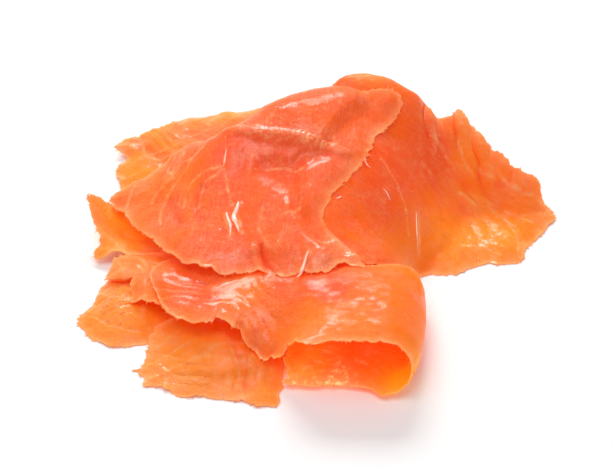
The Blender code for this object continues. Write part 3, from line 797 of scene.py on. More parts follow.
def lay_slice(slice_, pile, materials):
    """Spreads a slice over its outline, bends it, rests it on the pile and finishes it."""
    smooth, ragged = ragged_outline(slice_)
    grid = spread_over(smooth, ragged, slice_["middle"], slice_["cells"])
    x, y = grid[..., 0], grid[..., 1]
    seed = slice_["seed"] * 10
    edge = distance_to_rim(grid, ragged)
    height = thin_plate(slice_["edge"] + slice_["pins"])(x, y)
    height += undulation(x, y, seed) * smooth_step(edge / SWELL_FROM_RIM)
    flutter = noise(x / FLUTTER_WIDTH, y / FLUTTER_WIDTH, seed + 9)
    height += FLUTTER_HEIGHT * np.exp(-edge / FLUTTER_REACH) * flutter
    middle = np.dstack([grid, height])
    sag = np.full(x.shape, SAG)
    for *place, radius, extra in slice_.get("sags", ()):
        sag += extra * soft_spot(x, y, *place, radius)
    below = pile.settle(middle, thickness_at(edge), sag)
    middle[..., 2] += creases_of(slice_, x, y)
    along, across = grain_of(slice_, x, y)
    finish_sheet(slice_, middle, edge, below, along, across, pile, materials)


def lay_core(slice_, pile, materials):
    """The pressed-together folds in the middle of the pile, a closed mound that stands on the table."""
    smooth, ragged = ragged_outline(slice_)
    grid = spread_over(smooth, ragged, slice_["middle"], slice_["cells"])
    x, y = grid[..., 0], grid[..., 1]
    height = thin_plate(slice_["edge"] + slice_["pins"])(x, y) - CORE_DROP
    height += undulation(x, y, slice_["seed"] * 10)
    along, across = grain_of(slice_, x, y)
    fat, patches = marks_of(slice_, x, y, along, across)
    relief = fine_relief(x, y, along, across, fat, slice_["seed"] * 10)
    height = np.maximum(height + relief, CORE_LEAST)
    halfway_up = np.dstack([grid, height]) * (1, 1, 0.5)
    upright = np.zeros(halfway_up.shape)
    upright[..., 2] = 1
    points, faces, rim, top = shell(halfway_up, upright, height - 2 * TABLE_GAP, 0 * x, 0 * x)
    foot = grid.reshape(-1, 2)[rim]
    points[2 * x.size:, :2] = foot + CORE_FOOT * (foot - slice_["middle"]) / CORE_REACH
    pile.add(top)
    # The core is painted deep red all over, as shade
    edge, deep_and_shade = np.full(x.shape, CORE_FROM_RIM), np.full(x.shape, CORE_DEPTH)
    make_flesh(slice_, points, faces, looks_of(edge, deep_and_shade, fat, patches, along, across, rim), materials)


def bend_centres(ys):
    """Where the middle of the bend lies at each y, and how much of the front's lean reaches it."""
    share = (ys - BEND_FRONT[1]) / (BEND_BACK[1] - BEND_FRONT[1])
    bow = BEND_MIDDLE[0] - (BEND_FRONT[0] + BEND_BACK[0]) / 2
    outermost = BEND_FRONT[0] + share * (BEND_BACK[0] - BEND_FRONT[0]) + bow * np.sin(math.pi * share)
    return outermost - BEND_DEPTH, FRONT_LEAN * (1 - share)


def upper_run():
    """The rolled slice's upper run, as rows of points from its front edge to its back edge."""
    shares = np.linspace(0, 1, ROLL_CELLS_ALONG + 1)
    front = places_along(smooth_curve(ROLL_FRONT, closed=False), shares)[:, :2]
    back = places_along(smooth_curve(ROLL_BACK, closed=False), shares)[:, :2]
    across = np.linspace(0, 1, ROLL_CELLS_ACROSS + 1)[:, None, None]
    flat = front + across * (back - front)
    height = thin_plate(ROLL_FRONT + ROLL_BACK + ROLL_PINS)(flat[..., 0], flat[..., 1])
    height += undulation(flat[..., 0], flat[..., 1], ROLL_CHANCE) * 0.7
    return np.dstack([flat, height])


def under_run(ends):
    """The rolled slice's lower run, from under the bend to its end, on the table."""
    centres, leans = bend_centres(ends[:, 1])
    shares = np.linspace(0, 1, UNDER_RUN_CELLS + 1)
    end = UNDER_RUN_END + 2.5 * (1 + noise(ends[:, 1] / 7, 0 * ends[:, 1], ROLL_CHANCE + 4))
    end += 1.5 * abs(noise(ends[:, 1] / 2.2, 0 * ends[:, 1], ROLL_CHANCE + 5))
    x = centres[:, None] + shares * (end - centres)[:, None]
    lean = UNDER_RUN_LEAN + (1 - UNDER_RUN_LEAN) * (1 - np.minimum(shares / UNDER_RUN_LEAN, 1)) ** 2
    fore = np.linspace(1, 0, len(ends))[:, None] ** 3
    y = ends[:, 1:2] - leans[:, None] * lean + fore * (0.4 + 0.8 * noise(x / 6, 0 * x, ROLL_CHANCE + 2))
    return np.dstack([x, y, np.full(x.shape, THICKNESS / 2)])


def bend(top, bottom):
    """A half oval from the end of the upper run to the start of the lower one."""
    angles = np.linspace(0, math.pi, BEND_CELLS + 1)[1:-1]
    points = top + (1 - np.cos(angles))[:, None] / 2 * (bottom - top)
    points[:, 0] += BEND_DEPTH * np.sin(angles)
    return points


def walked(grid, axis):
    """How far each grid point lies from the first one, along one of the grid's ways."""
    steps = np.linalg.norm(np.diff(grid, axis=axis), axis=-1)
    return np.concatenate([np.zeros_like(np.take(steps, [0], axis)), np.cumsum(steps, axis)], axis)


def tear_front(middle):
    """Tears the roll's front edge, most around the tongue, and cuts a step into the run on the table."""
    x = middle[0, :, 0]
    column = np.arange(len(x))
    along, across = walked(middle, 1)[0], walked(middle, 0)
    tongue = smooth_step(1.5 - abs(x - TONGUE_AT) / TONGUE_REACH)
    torn = TEAR + TONGUE_TEAR * tongue * (column < ROLL_CELLS_ALONG)
    rag = 0.4 + 0.5 * noise(along / 5, 0 * x, ROLL_CHANCE)
    rag += 1.3 * noise(along / 2.3, 0 * x, ROLL_CHANCE + 1) ** 2
    rag += 0.5 * abs(noise(along / 1.1, 0 * x, ROLL_CHANCE + 3))
    on_table = column > ROLL_CELLS_ALONG + BEND_CELLS
    torn[on_table] = TABLE_TEAR
    step = NOTCH_DEPTH * smooth_step((NOTCH_AT - x) / 2) * on_table
    middle[..., 1] += (rag * torn + step) * np.exp(-((across / TEAR_REACH) ** 2))


def inner_side(middle):
    """How far into the roll's hollow each point of its grid lies: 0 on the upper run, 1 past the bend."""
    steps = np.arange(middle.shape[1]) - ROLL_CELLS_ALONG
    return np.broadcast_to(smooth_step(steps / BEND_CELLS), middle.shape[:2])


def lay_roll(slice_, pile, materials):
    """The rolled slice: both runs settle on the pile, then the bend joins them."""
    upper = upper_run()
    lower = under_run(upper[:, -1])
    pile.settle(lower, np.full(lower.shape[:2], UNDER_RUN_THICKNESS))
    below = pile.settle(upper, np.full(upper.shape[:2], THICKNESS))
    rows = [np.vstack([top, bend(top[-1], bottom[0]), bottom]) for top, bottom in zip(upper, lower)]
    middle = np.array(rows)
    for _ in range(BEND_SMOOTHINGS):
        middle[:, 1:-1] = (middle[:, :-2] + 2 * middle[:, 1:-1] + middle[:, 2:]) / 4
    tear_front(middle)
    along, across = walked(middle, 1), walked(middle, 0)
    edge = np.minimum.reduce([along, along[:, -1:] - along, across, across[-1:] - across])
    # Painted shade of depth: the upper run by the flesh under it, and all of it at least LEAST_ROLL_DEPTH
    deep_and_shade = np.zeros(middle.shape[:2])
    deep_and_shade[:, : upper.shape[1]] = below
    deep_and_shade = np.maximum(deep_and_shade, LEAST_ROLL_DEPTH)
    finish_sheet(slice_, middle, edge, deep_and_shade, along, across, pile, materials, inner_side(middle))


# ---- What repeats: beads of oil, torn fibres and shreds of fat --------------------------------------------

# Where beads and fibres may grow: how wet the flesh is at least, and how far below the pile's top
LEAST_WET = 0.02
BEADS_BELOW_TOP = 1.0
FIBRES_BELOW_TOP = 2.0
FIBRE_ROOT_DEPTH = 0.5
LOWEST_FIBRE = 0.35
BEAD_FLATNESS = 0.25
FIBRE_FLATNESS = 0.55
FIBRE_WANDER = ((-0.7, -0.7, -0.5), (0.7, 0.7, 0.3))

# Shreds of fat and skin: a path of (x, y, how high above the flesh), its width, and how flat it is
FAT_SHREDS = (
    (
        ((-34.8, 0.2, 0.1), (-35.2, -3.0, 0.3), (-36.4, -6.5, 0.3), (-35.6, -10, 0.3), (-34.0, -14.5, 0.0)),
        2.0, 0.3,
    ),
    (((-39.6, -4.0, 0.1), (-38.6, -8.0, 0.3), (-37.6, -11.0, 0.3), (-37.6, -15.5, 0.0)), 1.2, 0.35),
    (((-7.0, -28.5, 0.1), (-8.2, -32.0, 0.5), (-9.6, -36.0, 0.5), (-11.4, -40.0, 2.4)), 1.3, 0.7),
    (((-40.4, 24.5, 0.0), (-40.9, 21.0, 0.3), (-41.4, 18.0, 0.2)), 0.7, 0.5),
    (((15.6, 18.6, 0.0), (16.2, 16.6, 0.3), (18.0, 15.4, 0.0)), 0.6, 0.5),
    (((3.6, -2.4, 0.0), (5.0, -1.6, 0.3), (6.0, -0.4, 0.0)), 0.5, 0.5),
    (((23.0, 9.0, 0.0), (24.6, 7.8, 0.3), (25.8, 6.0, 0.0)), 0.5, 0.5),
    (((36.9, 9.5, 0.0), (36.8, 4.0, 0.25), (37.2, -4.0, 0.0)), 0.45, 0.5),
)
SHRED_SIDES = 8
SHRED_TIP = 0.12
SHRED_SINK = 0.1
SHRED_CHANCE = 77


def geometry_group(name, sizes):
    """A Geometry Nodes tree and its end nodes. Its inputs are these sizes, a seed and a material."""
    group = bpy.data.node_groups.new(name, "GeometryNodeTree")
    inputs = [("Geometry", "NodeSocketGeometry"), *((label, "NodeSocketFloat") for label in sizes)]
    inputs += [("Seed", "NodeSocketInt"), ("Material", "NodeSocketMaterial")]
    for label, kind in inputs:
        group.interface.new_socket(name=label, in_out="INPUT", socket_type=kind)
    group.interface.new_socket(name="Geometry", in_out="OUTPUT", socket_type="NodeSocketGeometry")
    return group, group.nodes.new("NodeGroupInput").outputs, group.nodes.new("NodeGroupOutput").inputs


def geometry_node(tree, kind, links=(), **settings):
    """A node with these settings, whose inputs, by name or number, have these links or values."""
    node = tree.nodes.new(kind)
    for label, value in settings.items():
        setattr(node, label, value)
    for socket, value in links:
        if isinstance(value, bpy.types.NodeSocket):
            tree.links.new(value, node.inputs[socket])
        else:
            node.inputs[socket].default_value = value
    return node.outputs


def random_between(tree, start, least, most):
    """A random number between two of the tree's inputs."""
    ends = ((2, start[least]), (3, start[most]), (8, start["Seed"]))
    return geometry_node(tree, "FunctionNodeRandomValue", ends, data_type="FLOAT")[1]


def scaled(tree, size, share):
    return geometry_node(tree, "ShaderNodeMath", ((0, size), (1, share)), operation="MULTIPLY")[0]


def scatter(tree, end, material, shape, **placing):
    """Puts a copy of the shape at each point, and gives the copies as one smooth painted mesh."""
    links = [("Instance", shape), *((label, value) for label, value in placing.items())]
    placed = geometry_node(tree, "GeometryNodeInstanceOnPoints", links)[0]
    real = geometry_node(tree, "GeometryNodeRealizeInstances", ((0, placed),))[0]
    smooth = geometry_node(tree, "GeometryNodeSetShadeSmooth", ((0, real),))[0]
    painted = geometry_node(tree, "GeometryNodeSetMaterial", ((0, smooth), ("Material", material)))[0]
    tree.links.new(painted, end[0])


def bead_tree():
    """Flat beads of oil, scattered where the surface is wet."""
    tree, start, end = geometry_group("oil beads", ("Density", "Smallest", "Largest"))
    wet = geometry_node(tree, "GeometryNodeInputNamedAttribute", (("Name", "wet"),), data_type="FLOAT")[0]
    density = scaled(tree, wet, start["Density"])
    spots = geometry_node(
        tree, "GeometryNodeDistributePointsOnFaces",
        ((0, start["Geometry"]), ("Density", density), ("Seed", start["Seed"])),
    )
    bead = geometry_node(tree, "GeometryNodeMeshIcoSphere", (("Radius", 1.0), ("Subdivisions", 2)))[0]
    size = random_between(tree, start, "Smallest", "Largest")
    parts = enumerate((size, size, scaled(tree, size, BEAD_FLATNESS)))
    scale = geometry_node(tree, "ShaderNodeCombineXYZ", parts)[0]
    scatter(tree, end, start["Material"], bead, Points=spots[0], Rotation=spots["Rotation"], Scale=scale)
    return tree


def fibre_tree():
    """Thin tapered ends of fibres that stick out of the torn rims."""
    tree, start, end = geometry_group("torn fibres", ("Share", "Smallest", "Largest", "Shortest", "Longest"))
    chance = (("Probability", start["Share"]), (8, start["Seed"]))
    chosen = geometry_node(tree, "FunctionNodeRandomValue", chance, data_type="BOOLEAN")[3]
    outward = geometry_node(
        tree, "GeometryNodeInputNamedAttribute", (("Name", "outward"),), data_type="FLOAT_VECTOR",
    )[0]
    wander = ((0, FIBRE_WANDER[0]), (1, FIBRE_WANDER[1]), (8, start["Seed"]))
    jitter = geometry_node(tree, "FunctionNodeRandomValue", wander, data_type="FLOAT_VECTOR")[0]
    way = geometry_node(tree, "ShaderNodeVectorMath", ((0, outward), (1, jitter)), operation="ADD")[0]
    turned = geometry_node(tree, "FunctionNodeAlignRotationToVector", (("Vector", way),), axis="Z")[0]
    sliver = geometry_node(
        tree, "GeometryNodeMeshCone",
        (("Vertices", 5), ("Radius Top", 0.15), ("Radius Bottom", 1.0), ("Depth", 1.0)),
    )[0]
    size = random_between(tree, start, "Smallest", "Largest")
    length = random_between(tree, start, "Shortest", "Longest")
    parts = enumerate((size, scaled(tree, size, FIBRE_FLATNESS), length))
    scale = geometry_node(tree, "ShaderNodeCombineXYZ", parts)[0]
    scatter(
        tree, end, start["Material"], sliver,
        Points=start["Geometry"], Selection=chosen, Rotation=turned, Scale=scale,
    )
    return tree


def grow(name, carrier, tree, **inputs):
    """Runs a tree on the carrier and gives the result as a plain mesh piece."""
    modifier = carrier.modifiers.new(name, "NODES")
    modifier.node_group = tree
    for item in tree.interface.items_tree:
        if item.in_out == "INPUT" and item.name in inputs:
            modifier[item.identifier] = inputs[item.name]
    graph = bpy.context.evaluated_depsgraph_get()
    mesh = bpy.data.meshes.new_from_object(carrier.evaluated_get(graph), depsgraph=graph)
    bpy.data.objects.remove(carrier)
    keep_in_box(mesh)
    hand_over(place_object(name, mesh))


def keep_in_box(mesh):
    """Presses back any fibre end or bead that reaches past the solids' box, or into the table."""
    places = np.empty(len(mesh.vertices) * 3, np.float32)
    mesh.vertices.foreach_get("co", places)
    low, high = np.array(CAD_BOX)
    low[2] = LOWEST_POINT * MM
    mesh.vertices.foreach_set("co", np.clip(places.reshape(-1, 3), low, high).ravel())
    mesh.update()


def mesh_from(name, points, faces):
    """A mesh from points in the pile's own millimetres."""
    mesh = bpy.data.meshes.new(name)
    mesh.from_pydata(((points - PILE_MIDDLE) * MM).tolist(), [], faces)
    return mesh


def carrier_of(points, faces, label, field):
    """A helper that a tree grows things on, with one attribute."""
    mesh = mesh_from("carrier", points, faces)
    add_attribute(mesh, label, field)
    return place_object("carrier", mesh)


def add_oil_beads(pile, material):
    points, faces, wet, start = [], [], [], 0
    for top, field in pile.surfaces:
        shown = top[..., 2] >= pile.read(pile.top, top[..., 0], top[..., 1]) - BEADS_BELOW_TOP
        points.append(top.reshape(-1, 3))
        wet.append((np.clip(field, 0, 1) ** 2 * shown).ravel())
        faces.append(faces_of_grid(*top.shape[:2], start, False))
        start += top.shape[0] * top.shape[1]
    faces = np.vstack(faces)
    wet = np.concatenate(wet)
    faces = faces[wet[faces].min(1) > LEAST_WET]
    carrier = carrier_of(np.vstack(points), faces.tolist(), "wet", wet)
    grow(
        "oil_beads", carrier, bead_tree(), Density=150000.0, Smallest=0.25 * MM, Largest=0.6 * MM, Seed=5,
        Material=material,
    )


def add_torn_fibres(pile, material):
    points, outward = (np.vstack(part) for part in zip(*pile.rims))
    outward /= np.linalg.norm(outward, axis=1, keepdims=True) + 1e-9
    shown = points[:, 2] >= pile.read(pile.top, points[:, 0], points[:, 1]) - FIBRES_BELOW_TOP
    inside = points - FIBRE_ROOT_DEPTH * outward
    inside[:, 2] = np.maximum(inside[:, 2], LOWEST_FIBRE)
    carrier = carrier_of(inside[shown], [], "outward", outward[shown])
    grow(
        "torn_fibres", carrier, fibre_tree(), Share=0.3, Smallest=0.12 * MM, Largest=0.35 * MM,
        Shortest=0.5 * MM, Longest=1.9 * MM, Seed=8, Material=material,
    )


def unit(vectors):
    return vectors / np.linalg.norm(vectors, axis=1, keepdims=True)


def shred_mesh(path, width, flatness, pile):
    """The points and faces of one shred: a flattened tube with tapered ends, that follows the flesh."""
    path = smooth_curve(path, closed=False)
    path[:, 2] += pile.read(pile.top, path[:, 0], path[:, 1]) - SHRED_SINK
    ahead = unit(np.gradient(path, axis=0))
    across = unit(np.cross(ahead, (0, 0, 1)))
    up = np.cross(across, ahead)
    shares = np.linspace(0, 1, len(path))
    radius = width / 2 * np.maximum(np.sin(math.pi * shares) ** 0.6, SHRED_TIP)
    radius *= 1 + 0.35 * noise(shares * 9, 0 * shares, SHRED_CHANCE)
    turns = np.linspace(0, 2 * math.pi, SHRED_SIDES, endpoint=False)[None, :, None]
    ring = np.cos(turns) * across[:, None] + flatness * np.sin(turns) * up[:, None]
    rings = path[:, None] + radius[:, None, None] * ring
    tips = np.vstack([path[:1] - ahead[:1] * radius[0], path[-1:] + ahead[-1:] * radius[-1]])
    points = np.vstack([rings.reshape(-1, 3), tips])
    faces = []
    for ring in range(len(path) - 1):
        for side in range(SHRED_SIDES):
            a, b = ring * SHRED_SIDES + side, ring * SHRED_SIDES + (side + 1) % SHRED_SIDES
            faces.append((a, a + SHRED_SIDES, b + SHRED_SIDES, b))
    first, last = len(points) - 2, len(points) - 1
    end = (len(path) - 1) * SHRED_SIDES
    for side in range(SHRED_SIDES):
        beyond = (side + 1) % SHRED_SIDES
        faces += [(first, side, beyond), (last, end + beyond, end + side)]
    return points, faces


def add_fat_shreds(pile, material):
    points, faces, start = [], [], 0
    for path, width, flatness in FAT_SHREDS:
        part, part_faces = shred_mesh(path, width, flatness, pile)
        points.append(part)
        faces += [[corner + start for corner in face] for face in part_faces]
        start += len(part)
    mesh = mesh_from("fat_shreds", np.vstack(points), faces)
    mesh.shade_smooth()
    mesh.materials.append(material)
    hand_over(place_object("fat_shreds", mesh))


# ---- Materials -------------------------------------------------------------------------------------------

# The painted glow's colours: red, or golden where the flesh is golden
GLOW_COLOUR = (1.0, 0.08, 0.0, 1)
GOLD_GLOW = (1.0, 0.30, 0.0, 1)
BLACK = (0, 0, 0, 1)
FAT_COLOUR = (1.0, 0.50, 0.21, 1)
GOLD_COLOUR = (1.0, 0.27, 0.004, 1)
ROSE_COLOUR = (0.96, 0.12, 0.06, 1)

# Each flesh's colour where it is thin and where it is deep; the deep colour also serves as painted shade
FLESH_COLOURS = {
    "salmon_flesh": ("orange flesh", (0.97, 0.185, 0.003, 1), (0.87, 0.075, 0.004, 1)),
    "salmon_flesh_red": ("red flesh", (0.96, 0.175, 0.012, 1), (0.83, 0.068, 0.008, 1)),
    "salmon_flesh_pale": ("pale flesh", (0.98, 0.24, 0.006, 1), (0.92, 0.12, 0.004, 1)),
}
# The emission carries the tone group's painted glow
FLESH_SURFACE = {
    "Emission Strength": 1.0, "Coat Roughness": 0.13, "IOR": 1.38, "Specular IOR Level": 0.22,
    "Subsurface Weight": 0.7, "Subsurface Radius": (1.0, 0.28, 0.10), "Subsurface Scale": 1.6 * MM,
}

# Fat, fibre ends and oil: a colour and a roughness
SPECK_COLOURS = {
    "fat": ("pale fat", (1.0, 0.68, 0.56), 0.25),
    "fibre": ("fibre ends", (1.0, 0.40, 0.14), 0.35),
    "oil": ("beads of oil", (0.98, 0.25, 0.08), 0.06),
}
# The specks' emission is a faint painted glow in their own colour
SPECK_SURFACE = {
    "Emission Strength": 0.15,
    "Subsurface Weight": 0.4, "Subsurface Radius": (1.0, 0.4, 0.3), "Subsurface Scale": 0.6 * MM,
}
SPECK_SHADE = (0.97, 0.7, 0.55)


def shader_group(name, inputs, outputs):
    """An empty shader node group with these named sockets, its inputs and its end's inputs."""
    group = bpy.data.node_groups.new(name, "ShaderNodeTree")
    for label, kind, value in inputs:
        socket = group.interface.new_socket(name=label, in_out="INPUT", socket_type="NodeSocket" + kind)
        socket.default_value = value
    for label, kind in outputs:
        group.interface.new_socket(name=label, in_out="OUTPUT", socket_type="NodeSocket" + kind)
    return group, group.nodes.new("NodeGroupInput").outputs, group.nodes.new("NodeGroupOutput").inputs


def math_node(tree, operation, first, second=0.0, clamp=False):
    node = tree.nodes.new("ShaderNodeMath")
    node.operation = operation
    node.use_clamp = clamp
    for socket, value in zip(node.inputs, (first, second)):
        if isinstance(value, bpy.types.NodeSocket):
            tree.links.new(value, socket)
        else:
            socket.default_value = value
    return node.outputs[0]


def times(tree, first, second, clamp=False):
    return math_node(tree, "MULTIPLY", first, second, clamp)


def plus(tree, first, second, clamp=False):
    return math_node(tree, "ADD", first, second, clamp)


def minus(tree, first, second, clamp=False):
    return math_node(tree, "SUBTRACT", first, second, clamp)


def fading(tree, distance, rate):
    """1 at no distance, and less and less further off."""
    return math_node(tree, "POWER", 2.718, times(tree, distance, -rate))


def mix_colours(tree, share, first, second):
    node = tree.nodes.new("ShaderNodeMix")
    node.data_type = "RGBA"
    for socket, value in ((node.inputs["Factor"], share), (node.inputs[6], first), (node.inputs[7], second)):
        if isinstance(value, bpy.types.NodeSocket):
            tree.links.new(value, socket)
        else:
            socket.default_value = value
    return node.outputs[2]


def noise_texture(tree, vector, scale, detail, roughness):
    node = tree.nodes.new("ShaderNodeTexNoise")
    node.inputs["Scale"].default_value = scale
    node.inputs["Detail"].default_value = detail
    node.inputs["Roughness"].default_value = roughness
    tree.links.new(vector, node.inputs["Vector"])
    return node.outputs["Fac"]


def ramp(tree, value, low, high):
    node = tree.nodes.new("ShaderNodeMapRange")
    node.inputs["From Min"].default_value = low
    node.inputs["From Max"].default_value = high
    tree.links.new(value, node.inputs["Value"])
    return node.outputs["Result"]


def fibre_group():
    """Fine fibres that run along the grain, from 0 between them to 1 on them."""
    group, put, end = shader_group(
        "fibre grain",
        (("Grain", "Vector", (0, 0, 0)), ("Length", "Float", 9.0), ("Width", "Float", 0.7)),
        (("Fibres", "Float"),),
    )
    parts = group.nodes.new("ShaderNodeSeparateXYZ")
    group.links.new(put["Grain"], parts.inputs[0])
    joined = group.nodes.new("ShaderNodeCombineXYZ")
    for axis, size in enumerate(("Length", "Width")):
        group.links.new(math_node(group, "DIVIDE", parts.outputs[axis], put[size]), joined.inputs[axis])
    fibres = noise_texture(group, joined.outputs[0], 1.0, 3.0, 0.6)
    group.links.new(ramp(group, fibres, 0.3, 0.7), end["Fibres"])
    return group


def tone_group():
    """The flesh's colour: golden where it is thin, redder where it is deep, paler at fat, fibres and rims.
    The redness of depth is painted shade, and the paler rim is painted light coming through it.

    Its glow is painted light that stands for the light that comes through: a little everywhere, most in a
    hollow and at the thin rim.
    """
    colours = tuple((label, "Color", (1, 1, 1, 1)) for label in ("Thin", "Deep", "Fat", "Gold", "Rose"))
    amounts = ("Depth", "Fat Lines", "Golden", "Rosy", "Pale", "Edge", "Fibres", "Hollow")
    group, put, end = shader_group(
        "flesh tone",
        (("Position", "Vector", (0, 0, 0)), *colours, *((label, "Float", 0.0) for label in amounts)),
        (("Color", "Color"), ("Glow", "Color")),
    )
    clouds = noise_texture(group, put["Position"], 90.0, 6.0, 0.65)
    wander = noise_texture(group, put["Position"], 130.0, 4.0, 0.5)
    fine = noise_texture(group, put["Position"], 420.0, 3.0, 0.6)
    grains = noise_texture(group, put["Position"], 1100.0, 2.0, 0.6)

    # Redder with Depth: painted shade where much flesh lies below, in furrows and in shaded patches
    drift = times(group, minus(group, clouds, 0.5), 2.0)
    colour = mix_colours(group, plus(group, put["Depth"], drift, clamp=True), put["Thin"], put["Deep"])
    golden = times(group, put["Golden"], 0.8, clamp=True)
    colour = mix_colours(group, golden, colour, put["Gold"])
    colour = mix_colours(group, times(group, put["Rosy"], 0.5, clamp=True), colour, put["Rose"])

    patchy = times(group, ramp(group, clouds, 0.4, 0.65), put["Fibres"])
    streaks = times(group, times(group, patchy, fine), 0.55)
    pores = times(group, ramp(group, grains, 0.45, 0.75), 0.12)
    off_vein = math_node(group, "ABSOLUTE", minus(group, wander, 0.5))
    veins = times(group, ramp(group, off_vein, 0.022, 0.0), ramp(group, clouds, 0.42, 0.6))
    # The Pale attribute frosts the flesh; along ridges and folds this paleness is a painted highlight
    frost = times(group, put["Pale"], plus(group, ramp(group, fine, 0.52, 0.74), 0.25), clamp=True)
    broken = plus(group, ramp(group, fine, 0.35, 0.6), 0.35)
    lines = times(group, put["Fat Lines"], broken, clamp=True)
    # Paler towards the rim: painted light coming through the thin edge
    rim = fading(group, put["Edge"], 0.9)
    border = times(group, fading(group, put["Edge"], 0.22), ramp(group, clouds, 0.35, 0.65))
    pale_rim = plus(group, times(group, rim, 0.5), times(group, border, 0.3))
    toward_fat = (
        streaks, pores, times(group, veins, 0.2), times(group, frost, 0.7), times(group, lines, 0.65),
        pale_rim,
    )
    for share in toward_fat:
        colour = mix_colours(group, share, colour, put["Fat"])
    group.links.new(colour, end["Color"])

    # Painted glow, standing in for light that comes through the flesh: a little everywhere, more at the rim,
    # most in a hollow and brightest where it is frosted
    frosted_hollow = times(group, put["Hollow"], frost)
    lit = plus(group, times(group, put["Hollow"], 0.3), times(group, frosted_hollow, 0.35))
    lit = plus(group, plus(group, lit, 0.13), times(group, rim, 0.15), clamp=True)
    glow = mix_colours(group, golden, GLOW_COLOUR, GOLD_GLOW)
    glow = mix_colours(group, times(group, put["Hollow"], frost, clamp=True), glow, put["Fat"])
    group.links.new(mix_colours(group, lit, BLACK, glow), end["Glow"])
    return group


def film_group():
    """The wet film: where it is smooth, where it beads, and the small height it adds."""
    group, put, end = shader_group(
        "wet film",
        (("Position", "Vector", (0, 0, 0)), ("Wet", "Float", 0.0), ("Fibres", "Float", 0.0)),
        (("Roughness", "Float"), ("Coat", "Float"), ("Height", "Float")),
    )
    broad = noise_texture(group, put["Position"], 90.0, 3.0, 0.5)
    beads = noise_texture(group, put["Position"], 560.0, 3.0, 0.6)
    dull = plus(group, times(group, broad, 0.3), 0.36)
    rough = minus(group, dull, times(group, put["Wet"], 0.18), clamp=True)
    group.links.new(rough, end["Roughness"])
    damp = plus(group, times(group, ramp(group, broad, 0.45, 0.6), 0.3), 0.1)
    coat = plus(group, times(group, put["Wet"], 0.55), damp, clamp=True)
    group.links.new(coat, end["Coat"])
    runny = plus(group, times(group, put["Wet"], 0.9), 0.55)
    lumps = times(group, ramp(group, beads, 0.4, 0.7), runny)
    group.links.new(plus(group, lumps, times(group, put["Fibres"], 0.35)), end["Height"])
    return group


def attribute(tree, label, output="Fac"):
    node = tree.nodes.new("ShaderNodeAttribute")
    node.attribute_name = label
    return node.outputs[output]


def place_group(tree, group, **inputs):
    """Puts a group in a material, with these links or values. An input's name has _ for its space."""
    node = tree.nodes.new("ShaderNodeGroup")
    node.node_tree = group
    for label, value in inputs.items():
        socket = node.inputs[label.replace("_", " ")]
        if isinstance(value, bpy.types.NodeSocket):
            tree.links.new(value, socket)
        else:
            socket.default_value = value
    return node.outputs


def new_material(name, surface):
    """A material with these values on its shader, and its tree, shader and Object coordinates."""
    material = bpy.data.materials.new(name)
    material.use_nodes = True
    tree = material.node_tree
    shader = tree.nodes["Principled BSDF"].inputs
    for label, value in surface.items():
        shader[label].default_value = value
    return material, tree, shader, tree.nodes.new("ShaderNodeTexCoord").outputs["Object"]


def add_bump(tree, shader, height, strength, distance):
    bump = tree.nodes.new("ShaderNodeBump")
    bump.inputs["Strength"].default_value = strength
    bump.inputs["Distance"].default_value = distance
    tree.links.new(height, bump.inputs["Height"])
    tree.links.new(bump.outputs[0], shader["Normal"])


def flesh_material(name, groups, thin, deep_and_shade):
    material, tree, shader, position = new_material(name, FLESH_SURFACE)
    fibres = place_group(tree, groups["fibre"], Grain=attribute(tree, "grain", "Vector"))["Fibres"]
    tone = place_group(
        tree, groups["tone"], Position=position, Thin=thin, Deep=deep_and_shade, Fat=FAT_COLOUR, Gold=GOLD_COLOUR,
        Rose=ROSE_COLOUR, Depth=attribute(tree, "deep_and_shade"), Fat_Lines=attribute(tree, "fat"),
        Golden=attribute(tree, "gold"), Rosy=attribute(tree, "rose"), Pale=attribute(tree, "pale"),
        Edge=attribute(tree, "edge"), Fibres=fibres, Hollow=attribute(tree, "hollow"),
    )
    film = place_group(tree, groups["film"], Position=position, Wet=attribute(tree, "wet"), Fibres=fibres)
    tree.links.new(tone["Color"], shader["Base Color"])
    tree.links.new(film["Roughness"], shader["Roughness"])
    tree.links.new(film["Coat"], shader["Coat Weight"])
    tree.links.new(tone["Glow"], shader["Emission Color"])
    add_bump(tree, shader, film["Height"], 0.75, 0.35 * MM)
    return material


def speck_material(name, groups, colour, roughness):
    """Fat, fibre ends and oil: nearly one colour, broken up a little, with a faint painted glow."""
    surface = {**SPECK_SURFACE, "Roughness": roughness, "Emission Color": (*colour, 1)}
    material, tree, shader, position = new_material(name, surface)
    cloudy = noise_texture(tree, position, 500.0, 3.0, 0.6)
    darker = tuple(part * share for part, share in zip(colour, SPECK_SHADE))
    tree.links.new(mix_colours(tree, cloudy, (*darker, 1), (*colour, 1)), shader["Base Color"])
    film = place_group(tree, groups["film"], Position=position, Wet=0.5)
    add_bump(tree, shader, film["Height"], 0.3, 0.1 * MM)
    return material


def all_materials():
    groups = {"fibre": fibre_group(), "tone": tone_group(), "film": film_group()}
    materials = {
        slot: speck_material(name, groups, colour, roughness)
        for slot, (name, colour, roughness) in SPECK_COLOURS.items()
    }
    for slot, (name, thin, deep_and_shade) in FLESH_COLOURS.items():
        materials[slot] = flesh_material(name, groups, thin, deep_and_shade)
    return materials


# ---- Stage -----------------------------------------------------------------------------------------------

LENS, SENSOR = 85, 36
CAMERA_ELEVATION, CAMERA_DISTANCE = math.radians(40), 0.578
CAMERA_TARGET = np.array([-7.4, -8.4, 15.0]) * MM
LIGHTS_TARGET = (0, 0, 0.02)
FLOOR_REACH = 2.5
FLOOR_WHITE = (0.96, 0.96, 0.96, 1)
WORLD_STRENGTH = 0.46


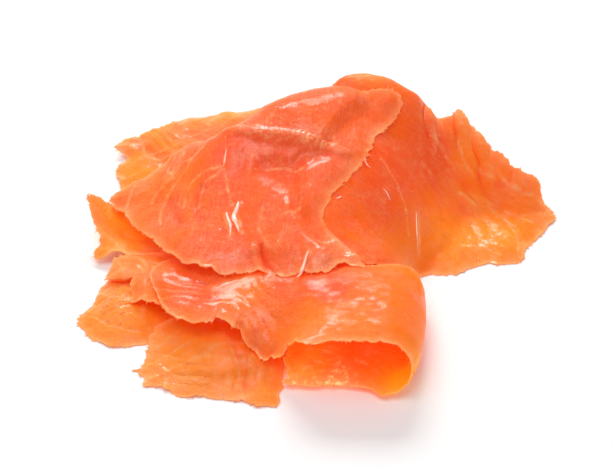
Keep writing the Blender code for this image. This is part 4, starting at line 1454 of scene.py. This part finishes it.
def place_camera():
    camera = place_object("camera", bpy.data.cameras.new("camera"))
    camera.data.lens = LENS
    camera.data.sensor_width = SENSOR
    back, up = math.cos(CAMERA_ELEVATION), math.sin(CAMERA_ELEVATION)
    camera.location = CAMERA_TARGET + CAMERA_DISTANCE * np.array([0, -back, up])
    camera.rotation_euler = (math.pi / 2 - CAMERA_ELEVATION, 0, 0)
    bpy.context.scene.camera = camera


def add_light(name, place, size, power):
    data = bpy.data.lights.new(name, "AREA")
    data.shape = "RECTANGLE"
    data.size, data.size_y = size
    data.energy = power
    light = place_object(name, data)
    light.location = place
    way = np.array(LIGHTS_TARGET) - place
    flat = math.hypot(way[0], way[1])
    light.rotation_euler = (math.atan2(flat, -way[2]), 0, math.atan2(-way[0], way[1]))


def build_stage():
    mesh = bpy.data.meshes.new("floor")
    corners = [(x * FLOOR_REACH, y * FLOOR_REACH, 0) for x, y in ((-1, -1), (1, -1), (1, 1), (-1, 1))]
    mesh.from_pydata(corners, [], [(0, 1, 2, 3)])
    floor = place_object("floor", mesh)
    paper = bpy.data.materials.new("white paper")
    paper.use_nodes = True
    shader = paper.node_tree.nodes["Principled BSDF"]
    shader.inputs["Base Color"].default_value = FLOOR_WHITE
    shader.inputs["Roughness"].default_value = 0.9
    shader.inputs["Specular IOR Level"].default_value = 0.0
    mesh.materials.append(paper)
    world = bpy.data.worlds.new("studio")
    world.use_nodes = True
    sky = world.node_tree.nodes["Background"]
    sky.inputs["Color"].default_value = (1, 1, 1, 1)
    sky.inputs["Strength"].default_value = WORLD_STRENGTH
    bpy.context.scene.world = world
    add_light("back softbox", (-0.1, 0.75, 0.68), (0.56, 0.26), 6.4)
    add_light("top softbox", (-0.2, -0.1, 1.2), (0.8, 0.8), 5.2)
    bpy.context.scene.view_settings.view_transform = "Standard"


def build_pile(materials):
    """Lays the slices from the table up, then what lies on them."""
    pile = Pile()
    for slice_ in (LOWER_LEFT, FRONT, UNDER):
        lay_slice(slice_, pile, materials)
    lay_core(CORE, pile, materials)
    lay_roll(ROLL, pile, materials)
    for slice_ in (BACK, LEFT, RIGHT, TOP):
        lay_slice(slice_, pile, materials)
    add_oil_beads(pile, materials["oil"])
    add_torn_fibres(pile, materials["fibre"])
    add_fat_shreds(pile, materials["fat"])


place_camera()
build_stage()
build_pile(all_materials())
